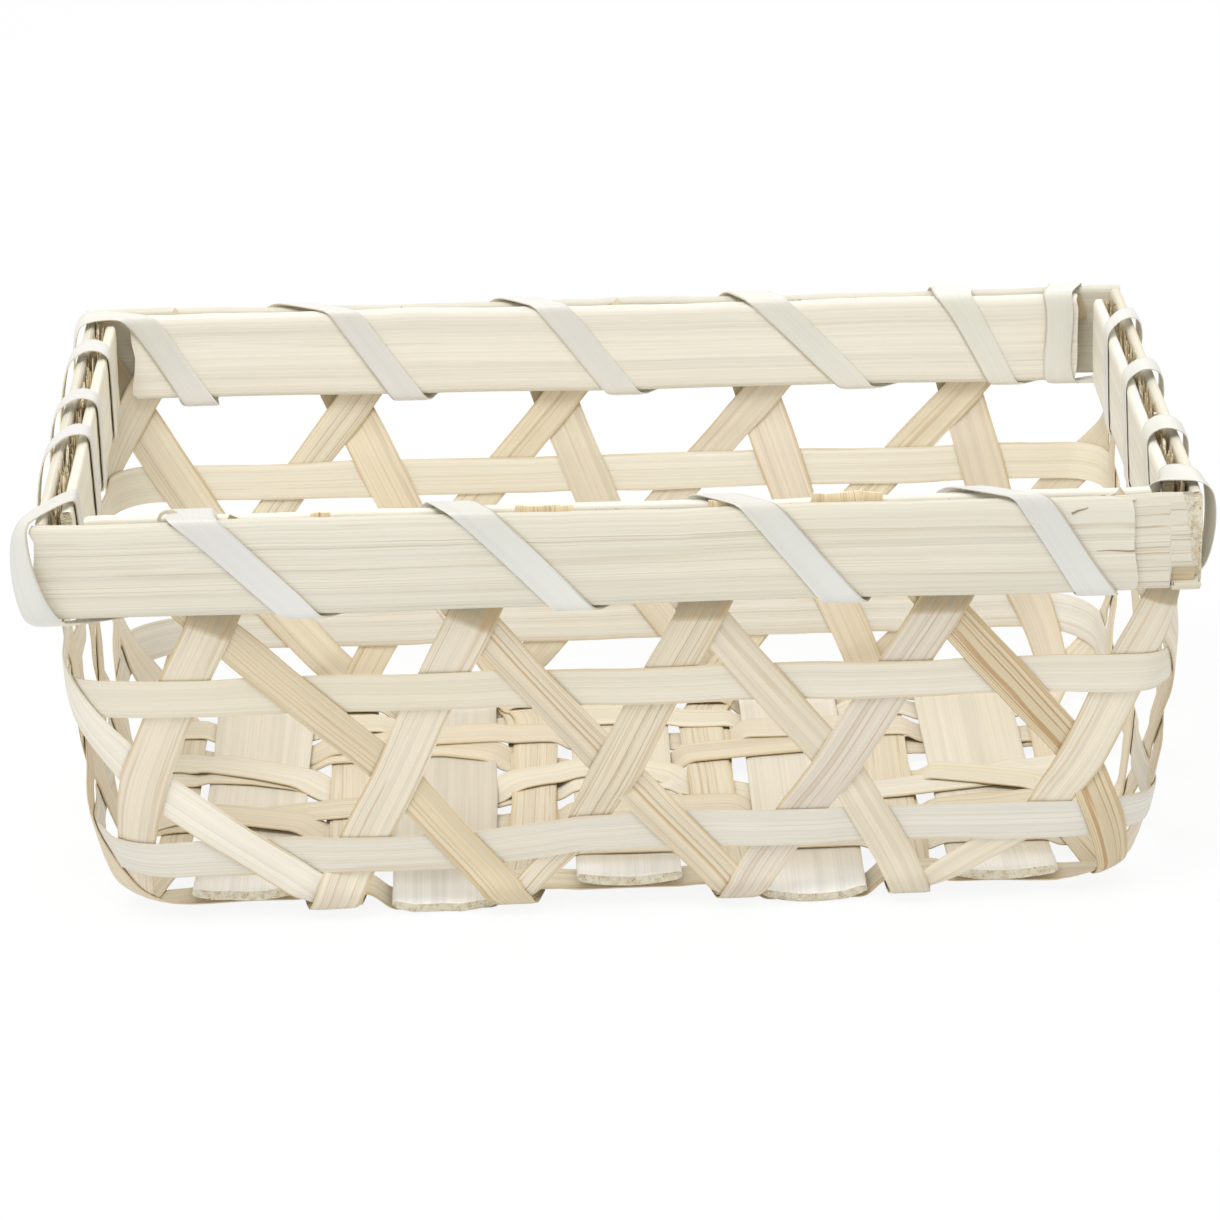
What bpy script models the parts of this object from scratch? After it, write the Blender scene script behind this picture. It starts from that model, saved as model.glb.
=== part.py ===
import math

import bmesh
import bpy
import numpy as np

# overall sizes in metres, width along x, depth along y, front facing minus y
LENGTH = 0.2200
DEPTH = 0.1364
RIM_TOP = 0.0870
RIM_BAND = 0.0187

# materials of the weave
STRIP = 0.0005
LAYER_ROOM = 0.00055
PAIR_ROOM = 0.0005
ROW_ROOM = 0.0004
FOLD_WIDE = 0.0072
SLASH_WIDE = 0.0092
BACKSLASH_WIDE = 0.0076
LOW_SLASH_WIDE = 0.0082
UPPER_WIDE = 0.0079
LOWER_WIDE = 0.0075
BASE_WIDE = 0.0078

# rim: an outer and an inner slat with the ends of the strips between them
RIM_SLAT = 0.0022
STAKE_ROOM = 0.0022
RIM_ROUND = 0.0005
SPLICE_LONG = 0.0108
SPLICE_RECESS = 0.0007
END_GAP = 0.0005
INNER_SHORT = 0.0030

# lashing wound around the rim
LASHING = 0.0004
LASHING_WIDE = 0.0070
LASHING_SIDE = 0.00105
LASHING_OVER = 0.0013
LASHING_UNDER = 0.0010
CORNER_LOOP = 0.0020
SIDE_LOOP = 0.0018
LASHING_CORNER = 0.0018
INNER_CORNER = 0.0042

# the woven skin: leaning walls, corners that grow rounder downwards, a tight bottom edge
WALL_LEAN = 0.120
SIDE_TUCK = 0.0066
CORNER_TOP = 0.0050
CORNER_BASE = 0.0190
EDGE = 0.0040

# folds at the bottom edge and tips between the rim slats
FOLD_HEIGHT = 0.0036
FOLD_DROP = 0.0016
DROP_TOP = 0.0110
STAKE_BELOW = 0.0039
STAKE_RAGGED = 0.0012

# slats of the base
SLAT_WIDE = 0.0180
SLAT_THICK = 0.0019
SLAT_DIP = 0.0024
SLAT_RISE = 0.0008
SLAT_CAMBER = 0.0007
SLAT_ROW_SHARES = (0.0, 0.38, 0.70, 0.81, 0.92, 1.0)

# edge strips of the base and the spread of its pairs
EDGE_WIDE = 0.0066
FILLER_OVER = 0.0041
COLUMN_SPREAD = 0.0012
ROW_SPREAD = 0.0028

# how finely a strip is followed
STEP = 0.0010
SAG = 0.00011
LASHING_SAG = 0.00018
TURN = 0.0026
FLAT_MARGIN = 0.0002
FOLD_REACH = 0.0030
CORNER_REACH = 0.0052
LASHING_EASE = 30

# heights of the crossings on the walls, as shares of the height below the rim band
LOWER_WEAVER_SHARE = 0.2518
MIDDLE_CROSSING_SHARE = 0.4641
UPPER_WEAVER_SHARE = 0.7306
TOP_CROSSING_SHARE = 0.9561

# places in the base, as shares of the length or the depth
COLUMN_EDGE_SHARE = 0.4091
ROW_EDGE_SHARE = 0.3534
ROW_FILLER_SHARE = 0.2405
ROW_PAIR_SHARE = 0.1261
SLAT_END_SHARE = 0.3996
BEND_START_SHARE = 0.2786
BEND_END_SHARE = 0.3666
DROP_START_SHARE = 0.3079
DROP_END_SHARE = 0.3959

# positions along the sides, in weave units counted from the front left corner
SIDE_UNITS = (5, 3, 5, 3)
UNITS = sum(SIDE_UNITS)
TOP_SHIFT_SHARES = (-0.31, -0.35, -0.17, -0.14, -0.06, -0.05, -0.10, -0.15,
                    -0.26, -0.30, -0.27, -0.25, -0.20, -0.10, -0.10, -0.12)
MIDDLE_SHIFT_SHARES = (-0.25, -0.14, -0.04, 0.00, 0.14, -0.04, -0.05, -0.05,
                       -0.05, -0.05, -0.05, -0.05, -0.05, -0.05, -0.05, -0.10)
FOLD_SHARES = (-0.254, -0.101, 0.100, 0.253)
PAIR_SHARES = (-0.250, -0.080, 0.085, 0.252)
SLAT_SHARES = (-0.339, -0.162, 0.003, 0.168, 0.338)
RAGGED_SHARES = (0.0, 0.9, 0.3, -0.6, 0.5, 1.0, -0.2, 0.4, 0.8, -0.5, 0.1, 0.7, -0.9, 0.6, 0.2, -0.3)
LASHING_TOP_SHARES = (0.53, 1.82, 3.08, 4.28, 5.00, 5.78, 6.62, 7.40, 8.20,
                      8.76, 9.74, 10.86, 11.94, 13.00, 13.62, 14.38, 14.93, 15.72)
LASHING_LOW_SHARES = (1.20, 2.46, 3.62, 4.62, 5.50, 6.30, 7.15, 8.02, 8.38,
                      9.12, 10.30, 11.38, 12.44, 13.42, 14.20, 14.62, 15.37, 16.02)
LASHING_TOP_LEAN_SHARES = (0.08, 0.08, 0.08, 0.08, 0.14, 0.08, 0.08, 0.08, 0.08,
                           0.08, 0.08, 0.08, 0.08, 0.14, 0.08, 0.06, 0.08, 0.08)
LASHING_LOW_LEAN_SHARES = (0.06, 0.06, 0.06, 0.06, 0.06, 0.06, 0.06, 0.14, 0.04,
                           0.06, 0.06, 0.06, 0.06, 0.06, 0.06, 0.06, 0.06, 0.14)
LASHING_TAIL_SHARE = 0.24
LASHING_HEAD_SHARE = 0.55

# sizes that follow from the ones above
HALF_X = LENGTH / 2 - RIM_SLAT - STAKE_ROOM / 2
HALF_Y = DEPTH / 2 - RIM_SLAT - STAKE_ROOM / 2
RIM_LOW = RIM_TOP - RIM_BAND
LOWER_WEAVER = RIM_LOW * LOWER_WEAVER_SHARE
MIDDLE_CROSSING = RIM_LOW * MIDDLE_CROSSING_SHARE
UPPER_WEAVER = RIM_LOW * UPPER_WEAVER_SHARE
TOP_CROSSING = RIM_LOW * TOP_CROSSING_SHARE
STAKE_TOP = RIM_TOP - STAKE_BELOW
COLUMN_EDGE = LENGTH * COLUMN_EDGE_SHARE
FILLER_END = COLUMN_EDGE + FILLER_OVER
ROW_EDGE = DEPTH * ROW_EDGE_SHARE
ROW_FILLER = DEPTH * ROW_FILLER_SHARE
ROW_PAIR = DEPTH * ROW_PAIR_SHARE
SLAT_END = DEPTH * SLAT_END_SHARE
BEND_START = DEPTH * BEND_START_SHARE
BEND_END = DEPTH * BEND_END_SHARE
DROP_START = DEPTH * DROP_START_SHARE
DROP_END = DEPTH * DROP_END_SHARE
LAYER = (STRIP + LAYER_ROOM) / 2
PAIR_LAYER = (STRIP + PAIR_ROOM) / 2
PAIR_HALF = PAIR_LAYER + STRIP / 2
BASE_MID = SLAT_THICK / 2 + SLAT_DIP
NUDGE = STRIP / 50
SLATS_X = tuple(LENGTH * share for share in SLAT_SHARES)
PAIRS_X = tuple(LENGTH * share for share in PAIR_SHARES)
FOLDS_X = tuple(LENGTH * share for share in FOLD_SHARES)
ROWS_Y = (-ROW_EDGE, -ROW_FILLER, -ROW_PAIR, 0.0, ROW_PAIR, ROW_FILLER, ROW_EDGE)
ROW_HALVES = (STRIP / 2, STRIP / 2, PAIR_HALF, STRIP / 2, PAIR_HALF, STRIP / 2, STRIP / 2)

# colours
CREAM = (0.86, 0.78, 0.60, 1.0)
TAN = (0.80, 0.68, 0.47, 1.0)
PALE = (0.90, 0.85, 0.72, 1.0)
SILKY = (0.92, 0.90, 0.84, 1.0)
LIGHT_GREY = (0.84, 0.84, 0.82, 1.0)


# scene and objects

def clear_scene():
    for item in list(bpy.data.objects):
        bpy.data.objects.remove(item, do_unlink=True)


def make_collection(name):
    collection = bpy.data.collections.new(name)
    bpy.context.scene.collection.children.link(collection)
    return collection


def make_material(name, colour, roughness):
    material = bpy.data.materials.new(name)
    material.use_nodes = True
    shader = material.node_tree.nodes["Principled BSDF"]
    shader.inputs["Base Color"].default_value = colour
    shader.inputs["Roughness"].default_value = roughness
    return material


def add_object(collection, name, work, colour, roughness):
    mesh = bpy.data.meshes.new(name)
    work.to_mesh(mesh)
    work.free()
    item = bpy.data.objects.new(name, mesh)
    item.data.materials.append(make_material(name + "_look", colour, roughness))
    collection.objects.link(item)
    return item


# the woven skin

def wall_sizes(z):
    below = np.maximum(RIM_LOW - z, 0.0)
    tuck = SIDE_TUCK * (below / RIM_LOW) ** 3
    corner = CORNER_TOP + (CORNER_BASE - CORNER_TOP) * below / RIM_LOW
    return HALF_X - tuck, HALF_Y - below * WALL_LEAN, corner


def outside(points):
    """Distance of each point outside the middle of the woven skin."""
    half_x, half_y, corner = wall_sizes(points[:, 2])
    from_x = np.abs(points[:, 0]) - half_x + corner
    from_y = np.abs(points[:, 1]) - half_y + corner
    beyond = np.hypot(np.maximum(from_x, 0.0), np.maximum(from_y, 0.0))
    wall = beyond + np.minimum(np.maximum(from_x, from_y), 0.0) - corner
    base = BASE_MID - points[:, 2]
    rounded = np.hypot(np.maximum(wall + EDGE, 0.0), np.maximum(base + EDGE, 0.0))
    return np.minimum(np.maximum(wall, base) + EDGE, 0.0) + rounded - EDGE


def slope(points):
    rises = [outside(points + NUDGE * axis) - outside(points - NUDGE * axis) for axis in np.eye(3)]
    return np.stack(rises, axis=1) / (2 * NUDGE)


def settle(points, offset):
    """Move points along the normal until they lie at the offset from the skin."""
    for _ in range(6):
        rise = slope(points)
        miss = (outside(points) - offset) / (rise * rise).sum(axis=1)
        points = points - miss[:, None] * rise
    return points


def normal_at(points):
    return unit_rows(slope(points))


def side_point(along, half_long, half_off, corner):
    """Point of one side, along running from -1 to 1 between the middles of its two corners."""
    straight = half_long - corner
    reach = np.abs(along) * (straight + math.pi / 4 * corner)
    turn = np.clip((reach - straight) / corner, 0.0, math.pi / 4)
    forward = np.minimum(reach, straight) + corner * np.sin(turn)
    return np.sign(along) * forward, -(half_off - corner) - corner * np.cos(turn)


def plan_point(unit, half_x, half_y, corner):
    """Point of a rounded rectangle, counted in weave units from the front left corner."""
    unit = np.mod(unit, UNITS)
    x = np.zeros_like(unit)
    y = np.zeros_like(unit)
    start = 0
    for side, count in enumerate(SIDE_UNITS):
        here = (unit >= start) & (unit <= start + count)
        along = 2 * (unit - start) / count - 1
        halves = (half_x, half_y) if side % 2 == 0 else (half_y, half_x)
        forward, off = side_point(along, halves[0], halves[1], corner)
        turned = ((forward, off), (-off, forward), (-forward, -off), (off, -forward))[side]
        x = np.where(here, turned[0], x)
        y = np.where(here, turned[1], y)
        start += count
    return x, y


def wall_point(unit, z):
    unit = np.atleast_1d(np.asarray(unit, dtype=float))
    z = np.broadcast_to(np.asarray(z, dtype=float), unit.shape)
    half_x, half_y, corner = wall_sizes(z)
    x, y = plan_point(unit, half_x, half_y, corner)
    return np.stack([x, y, z], axis=1)


def base_point(x, y):
    x = np.atleast_1d(np.asarray(x, dtype=float))
    y = np.broadcast_to(np.asarray(y, dtype=float), x.shape)
    return np.stack([x, y, np.full_like(x, BASE_MID)], axis=1)


# strips that follow the skin

def place(station):
    maker = wall_point if station[0] == "wall" else base_point
    return maker(station[1], station[2])[0]


def leg(first, second):
    """Closely spaced points from one station to the next, the last one left out."""
    start, stop = place(first), place(second)
    count = max(2, math.ceil(np.linalg.norm(stop - start) / STEP))
    share = np.arange(count) / count
    if first[0] != second[0]:
        return start + share[:, None] * (stop - start)
    maker = wall_point if first[0] == "wall" else base_point
    return maker(first[1] + share * (second[1] - first[1]), first[2] + share * (second[2] - first[2]))


def smooth(points, rounds):
    points = points.copy()
    for _ in range(rounds):
        points[1:-1] = (points[:-2] + 2 * points[1:-1] + points[2:]) / 4
    return points


def follow(stations, rounds):
    """Points on the skin through all stations, and the index of every station."""
    runs = []
    marks = [0]
    for first, second in zip(stations, stations[1:]):
        runs.append(leg(first, second))
        marks.append(marks[-1] + len(runs[-1]))
    runs.append(place(stations[-1])[None])
    points = smooth(np.concatenate(runs), rounds)
    return settle(points, 0.0), marks


def distance_along(points):
    steps = np.linalg.norm(np.diff(points, axis=0), axis=1)
    return np.concatenate([[0.0], np.cumsum(steps)])


def layering(along, centres, stations):
    """Offset from the skin along a strip, level at each crossing and easing in between."""
    offset = np.full_like(along, stations[0][3])
    for index in range(len(stations) - 1):
        start = centres[index] + stations[index][4]
        stop = centres[index + 1] - stations[index + 1][4]
        if stop - start < TURN:
            middle = (start + stop) / 2
            start, stop = middle - TURN / 2, middle + TURN / 2
        share = np.clip((along - start) / (stop - start), 0.0, 1.0)
        here = along >= centres[index]
        low, high = stations[index][3], stations[index + 1][3]
        offset = np.where(here, low + (high - low) * share, offset)
    return offset


def unit_rows(vectors):
    return vectors / np.linalg.norm(vectors, axis=1)[:, None]


def across_rows(points, normals, width, rails, level_rows):
    """Rails of a ribbon on both sides of its middle line.

    Level rows let a ribbon fold cleanly over the bottom edge, square rows suit the corners.
    """
    side = unit_rows(np.cross(np.gradient(points, axis=0), normals))
    if level_rows:
        level = np.cross(normals, (0.0, 0.0, 1.0))
        steep = np.linalg.norm(level, axis=1) > 0.05
        level[steep] = unit_rows(level[steep])
        level[~steep] = side[~steep]
        facing = np.sum(level * side, axis=1)
        side = level / facing[:, None]
    shares = np.linspace(-0.5, 0.5, rails)
    return [points + side * (width * share)[:, None] for share in shares]


def thin_out(rows, sag):
    """Leave out the rows that stray less than sag from the line between their neighbours."""
    flat = rows.reshape(len(rows), -1)
    keep = {0, len(rows) - 1}
    stack = [(0, len(rows) - 1)]
    while stack:
        low, high = stack.pop()
        if high - low < 2:
            continue
        span = flat[high] - flat[low]
        share = ((flat[low + 1:high] - flat[low]) @ span) / (span @ span)
        miss = flat[low + 1:high] - flat[low] - share[:, None] * span
        worst = np.linalg.norm(miss.reshape(len(miss), -1, 3), axis=2).max(axis=1)
        index = int(worst.argmax())
        if worst[index] > sag:
            keep.add(low + 1 + index)
            stack.append((low, low + 1 + index))
            stack.append((low + 1 + index, high))
    return rows[sorted(keep)]


def strip_rows(stations, widths, rails, rounds, level_rows=False, drops=False):
    """Rows of points across a strip that follows the skin over and under its crossings."""
    points, marks = follow(stations, rounds)
    along = distance_along(points)
    offset = layering(along, [along[mark] for mark in marks], stations)
    if drops:
        offset = offset + fold_drop(points)
    normals = normal_at(points)
    lifted = settle(points + normals * offset[:, None], offset)
    share = np.interp(along, [along[mark] for mark in marks], widths)
    rows = [settle(rail, offset) for rail in across_rows(lifted, normals, share, rails, level_rows)]
    return thin_out(np.stack(rows, axis=1), SAG)


def sheet(collection, name, rows, thick, colour):
    """A grid laid through the rows, thickened to both sides."""
    work = bmesh.new()
    bmesh.ops.create_grid(work, x_segments=rows.shape[1] - 1, y_segments=len(rows) - 1, size=LENGTH)
    work.verts.ensure_lookup_table()
    for vert, point in zip(work.verts, rows.reshape(-1, 3)):
        vert.co = point
    item = add_object(collection, name, work, colour, 0.55)
    thickness = item.modifiers.new("thickness", "SOLIDIFY")
    thickness.thickness = thick
    thickness.offset = 0.0
    thickness.use_even_offset = True
    return item


# the wall ends of the long strips

def flat_reach(own, other, angle):
    """Half length a strip stays level where another of the given width crosses it."""
    return (other / math.sin(angle) + own / abs(math.tan(angle))) / 2 + FLAT_MARGIN


def fold_unit(fold):
    """Where on the walls the two strips of a fold cross, set by the pairs of the base."""
    half_x, half_y, corner = wall_sizes(np.array(FOLD_HEIGHT))
    reach = half_x - corner + math.pi / 4 * corner
    if 1 <= fold <= 4:
        return SIDE_UNITS[0] / 2 * (1 + FOLDS_X[fold - 1] / reach)
    if 9 <= fold <= 12:
        return 8 + SIDE_UNITS[2] / 2 * (1 - FOLDS_X[12 - fold] / reach)
    return fold


def fold_drop(points):
    """The folds along the front and the back hang a little below the base."""
    low = np.clip((DROP_TOP - points[:, 2]) / (DROP_TOP - BASE_MID), 0.0, 1.0)
    out = np.clip((np.abs(points[:, 1]) - DROP_START) / (DROP_END - DROP_START), 0.0, 1.0)
    return FOLD_DROP * low * out


def end_units(fold, way):
    """Units of a wall end at its fold, its middle crossing and its top crossing."""
    middle = (fold if way > 0 else fold - 1) % UNITS
    middle_unit = fold + way / 2 + MIDDLE_SHIFT_SHARES[middle]
    top_unit = fold + way + TOP_SHIFT_SHARES[(fold + way) % UNITS]
    return fold_unit(fold), middle_unit, top_unit


def slants(fold, way):
    """Angles from upright below and above the middle crossing of a wall end."""
    fold_at, middle, top = end_units(fold % UNITS, way)
    unit_long = 2 * HALF_X / SIDE_UNITS[0]
    low = math.atan2(abs(middle - fold_at) * unit_long, MIDDLE_CROSSING - FOLD_HEIGHT)
    high = math.atan2(abs(top - middle) * unit_long, TOP_CROSSING - MIDDLE_CROSSING)
    return low, high


def tip_reach(own, other, slant, slant_next):
    """Half length a strip with level rows stays level up to the tips of a crossing."""
    halves = own / math.cos(slant) / 2 + other / math.cos(slant_next) / 2
    return halves / (math.tan(slant) + math.tan(slant_next)) / math.cos(slant) + FLAT_MARGIN


def level_reaches(fold, way):
    """The same as end_reaches for a strip whose rows lie level."""
    own, other = (SLASH_WIDE, BACKSLASH_WIDE) if way > 0 else (BACKSLASH_WIDE, SLASH_WIDE)
    low, high = slants(fold, way)
    low_next, high_next = slants(fold + way, -way)
    top_next = slants(fold + 2 * way, -way)[1]
    return (
        FOLD_REACH,
        LOWER_WIDE / math.cos(low) / 2 + FLAT_MARGIN,
        tip_reach(own, other, (low + high) / 2, (low_next + high_next) / 2),
        UPPER_WIDE / math.cos(high) / 2 + FLAT_MARGIN,
        tip_reach(own, other, high, top_next),
    )


def end_reaches(fold, way):
    """How far a wall end stays level at the fold, both weavers and the crossings between them."""
    own, other = (SLASH_WIDE, BACKSLASH_WIDE) if way > 0 else (BACKSLASH_WIDE, SLASH_WIDE)
    low, high = slants(fold, way)
    low_next, high_next = slants(fold + way, -way)
    top_next = slants(fold + 2 * way, -way)[1]
    low_own = LOW_SLASH_WIDE if way > 0 else FOLD_WIDE
    return (
        CORNER_REACH if fold in (0, 5, 8, 13) else FOLD_REACH,
        flat_reach(low_own, LOWER_WIDE, math.pi / 2 - low),
        flat_reach(own, other, (low + high + low_next + high_next) / 2),
        flat_reach(own, UPPER_WIDE, math.pi / 2 - high),
        flat_reach(own, other, high + top_next),
    )


def wall_end(fold, way, level_rows=False):
    """Stations of a wall end from its fold up to the rim; way is 1 for a slash, -1 for a backslash."""
    fold_at, middle_unit, top_unit = end_units(fold, way)
    low_share = (LOWER_WEAVER - FOLD_HEIGHT) / (MIDDLE_CROSSING - FOLD_HEIGHT)
    high_share = (UPPER_WEAVER - MIDDLE_CROSSING) / (TOP_CROSSING - MIDDLE_CROSSING)
    tip = STAKE_TOP + STAKE_RAGGED * RAGGED_SHARES[(fold * 5 + way) % UNITS]
    tip_share = (tip - TOP_CROSSING) / (TOP_CROSSING - MIDDLE_CROSSING)
    low_unit = fold_at + low_share * (middle_unit - fold_at)
    high_unit = middle_unit + high_share * (top_unit - middle_unit)
    tip_unit = top_unit + tip_share * (top_unit - middle_unit) * 0.9
    reaches = level_reaches(fold, way) if level_rows else end_reaches(fold, way)
    return [
        ("wall", fold_at, FOLD_HEIGHT, -way * LAYER, reaches[0]),
        ("wall", low_unit, LOWER_WEAVER, -way * LAYER, reaches[1]),
        ("wall", middle_unit, MIDDLE_CROSSING, way * LAYER, reaches[2]),
        ("wall", high_unit, UPPER_WEAVER, -way * LAYER, reaches[3]),
        ("wall", top_unit, TOP_CROSSING, way * LAYER, reaches[4]),
        ("wall", tip_unit, tip, way * LAYER, reaches[4]),
    ]


def wall_widths(way):
    own = SLASH_WIDE if way > 0 else BACKSLASH_WIDE
    low = LOW_SLASH_WIDE if way > 0 else FOLD_WIDE
    return [FOLD_WIDE, low, own, own, own, own]


# levels of the base weave, positive downwards

def column_kinds():
    kinds = [("edge", -COLUMN_EDGE)]
    for index, x in enumerate(SLATS_X):
        kinds.append(("slat", x))
        if index < len(PAIRS_X):
            kinds.append(("pair", PAIRS_X[index]))
    kinds.append(("edge", COLUMN_EDGE))
    return kinds


def slat_way(column):
    """Slats beside the middle one bend down at their ends, the others bend up."""
    return 1 if column in (3, 7) else -1


def slat_drop(column, y):
    share = min(max((abs(y) - BEND_START) / (BEND_END - BEND_START), 0.0), 1.0)
    return share * (SLAT_DIP if slat_way(column) > 0 else -SLAT_RISE)


def row_is_above(row, column):
    if row in (0, len(ROWS_Y) - 1):
        return column not in (1, 5, 9)
    return (row + min(max(column, 1), 9)) % 2 == 0


def row_offset(row, column):
    """Level of a row where it meets a column."""
    kind = column_kinds()[column][0]
    up = -1 if row_is_above(row, column) else 1
    half = ROW_HALVES[row]
    if kind == "slat":
        inner = abs(ROWS_Y[row]) - BASE_WIDE / 2
        return slat_drop(column, inner) + up * (SLAT_THICK / 2 + ROW_ROOM + half)
    other = PAIR_HALF if kind == "pair" else STRIP / 2
    return up * (half + ROW_ROOM + other) / 2


def column_offset(row, column):
    """Level of a column where it meets a row."""
    return -row_offset(row, column)


def row_stations(row, shift, spread):
    """Stations of a row through the base from left to right; shift is its place within a pair."""
    kinds = column_kinds()
    last = len(kinds) - 1
    edges = row in (0, len(ROWS_Y) - 1)
    stations = []
    for column, (kind, x) in enumerate(kinds):
        if edges and column in (0, last):
            continue
        wide = {"slat": SLAT_WIDE, "pair": BASE_WIDE + 2 * COLUMN_SPREAD, "edge": EDGE_WIDE}[kind]
        y = ROWS_Y[row] + spread * x / COLUMN_EDGE
        reach = wide / 2 + FLAT_MARGIN
        stations.append(("base", x, y, row_offset(row, column) + shift, reach))
    return stations


def column_stations(column, shift, spread):
    """Stations of a column through the base from front to back."""
    kinds = column_kinds()
    edges = kinds[column][0] == "edge"
    stations = []
    for row, y in enumerate(ROWS_Y):
        if edges and row in (0, len(ROWS_Y) - 1):
            continue
        x = kinds[column][1] + spread * y / ROW_EDGE
        if kinds[column][0] == "pair" and row in (0, len(ROWS_Y) - 1):
            x = (kinds[column][1] + 2 * FOLDS_X[column // 2 - 1]) / 3
        reach = BASE_WIDE / 2 + FLAT_MARGIN
        if row in (2, 4):
            reach += ROW_SPREAD * abs(x) / COLUMN_EDGE
        stations.append(("base", x, y, column_offset(row, column) + shift, reach))
    return stations


# the long strips that run down one wall, through the base and up another

def long_strip(collection, name, first, middle, second, rails, base_wide=BASE_WIDE):
    """One strip: a wall end going down, its run through the base, a wall end going up."""
    level_rows = rails == 2
    down = wall_end(first[0], first[1], level_rows)[::-1]
    up = wall_end(second[0], second[1], level_rows)
    widths = wall_widths(first[1])[::-1] + [base_wide] * len(middle) + wall_widths(second[1])
    drops = first[0] in (1, 2, 3, 4)
    rows = strip_rows(down + middle + up, widths, rails, 12, level_rows, drops)
    colour = TAN if first[1] > 0 else CREAM
    return sheet(collection, name, rows, STRIP, colour)


def add_columns(collection):
    long_strip(collection, "strip_column_left", (0, 1), column_stations(0, 0.0, 0.0), (13, -1), 3,
               EDGE_WIDE)
    for index in range(len(PAIRS_X)):
        column = 2 * index + 2
        back = 13 - (index + 1)
        upper = column_stations(column, -PAIR_LAYER, COLUMN_SPREAD)
        lower = column_stations(column, PAIR_LAYER, -COLUMN_SPREAD)
        rails = 3 if index in (0, 3) else 2
        long_strip(collection, f"strip_column_{index + 1}a", (index + 1, 1), upper, (back, 1), rails)
        long_strip(collection, f"strip_column_{index + 1}b", (index + 1, -1), lower, (back, -1), rails)
    long_strip(collection, "strip_column_right", (5, -1), column_stations(10, 0.0, 0.0), (8, 1), 3,
               EDGE_WIDE)


def add_rows(collection):
    long_strip(collection, "strip_row_front", (0, -1), row_stations(0, 0.0, 0.0), (5, 1), 3)
    for name, row, left, right, rails in (("1", 2, 15, 6, 2), ("2", 4, 14, 7, 3)):
        upper = row_stations(row, -PAIR_LAYER, -ROW_SPREAD)
        lower = row_stations(row, PAIR_LAYER, ROW_SPREAD)
        long_strip(collection, f"strip_row_{name}a", (left, 1), upper, (right, 1), rails)
        long_strip(collection, f"strip_row_{name}b", (left, -1), lower, (right, -1), 3)
    long_strip(collection, "strip_row_back", (13, 1), row_stations(6, 0.0, 0.0), (8, -1), 3)


def add_base_weavers(collection):
    for name, row in (("front", 1), ("middle", 3), ("back", 5)):
        stations = row_stations(row, 0.0, 0.0)
        first, last = stations[0], stations[-1]
        stations = [("base", -FILLER_END, first[2], first[3], 0.0)] + stations
        stations.append(("base", FILLER_END, last[2], last[3], 0.0))
        rows = strip_rows(stations, [BASE_WIDE] * len(stations), 2, 4)
        sheet(collection, "base_weaver_" + name, rows, STRIP, PALE)


# the two weavers that run around the walls

def weaver_stations(height, wide):
    """Crossings of a wall weaver, over every slash strip and under every backslash strip."""
    stations = []
    for fold in range(UNITS):
        for way in (1, -1):
            ends = wall_end(fold, way)
            station = ends[1] if height == LOWER_WEAVER else ends[3]
            own = wall_widths(way)[1 if height == LOWER_WEAVER else 3]
            steep = slants(fold, way)[0 if height == LOWER_WEAVER else 1]
            reach = flat_reach(wide, own, math.pi / 2 - steep)
            stations.append((station[1] % UNITS, way * LAYER, reach))
    return sorted(stations)


def add_wall_weaver(collection, name, height, wide):
    crossings = weaver_stations(height, wide)
    hidden = max(index for index, crossing in enumerate(crossings) if crossing[1] < 0)
    order = crossings[hidden + 1:] + crossings[:hidden]
    centre = crossings[hidden][0]
    gap = END_GAP / (2 * LENGTH / SIDE_UNITS[0])
    stations = [("wall", centre - UNITS + gap, height, -LAYER, crossings[hidden][2])]
    for unit, layer, reach in order:
        unit = unit - UNITS if unit > centre else unit
        stations.append(("wall", unit, height, layer, reach))
    stations.append(("wall", centre - gap, height, -LAYER, crossings[hidden][2]))
    rows = strip_rows(stations, [wide] * len(stations), 2, 2)
    sheet(collection, name, rows, STRIP, PALE)


# slats of the base

def add_base_slat(collection, name, column, centre):
    """A stiff slat with a flat top and a slightly arched underside, bent at its two ends."""
    work = bmesh.new()
    bmesh.ops.create_grid(work, x_segments=5, y_segments=10, size=1.0)
    for vert in work.verts:
        row = round(5 * abs(vert.co.y))
        vert.co.x *= SLAT_WIDE / 2
        vert.co.y = math.copysign(SLAT_END * SLAT_ROW_SHARES[row], vert.co.y)
    top = bmesh.ops.extrude_face_region(work, geom=list(work.faces))
    raised = [item for item in top["geom"] if isinstance(item, bmesh.types.BMVert)]
    for vert in work.verts:
        vert.co.z = BASE_MID - slat_drop(column, vert.co.y) - SLAT_THICK / 2
        vert.co.z += SLAT_CAMBER * max((2 * vert.co.x / SLAT_WIDE) ** 2 - 0.04, 0.0)
    for vert in raised:
        vert.co.z = BASE_MID - slat_drop(column, vert.co.y) + SLAT_THICK / 2
    bmesh.ops.translate(work, vec=(centre, 0.0, 0.0), verts=work.verts)
    bmesh.ops.recalc_face_normals(work, faces=work.faces)
    add_object(collection, name, work, SILKY, 0.4)


def soften(item, size):
    bevel = item.modifiers.new("soft edges", "BEVEL")
    bevel.width = size
    bevel.segments = 1
    bevel.limit_method = "ANGLE"
    bevel.angle_limit = math.radians(40)


def add_base_slats(collection):
    for index, x in enumerate(SLATS_X):
        add_base_slat(collection, f"base_slat_{index + 1}", 2 * index + 1, x)


# rim

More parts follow.
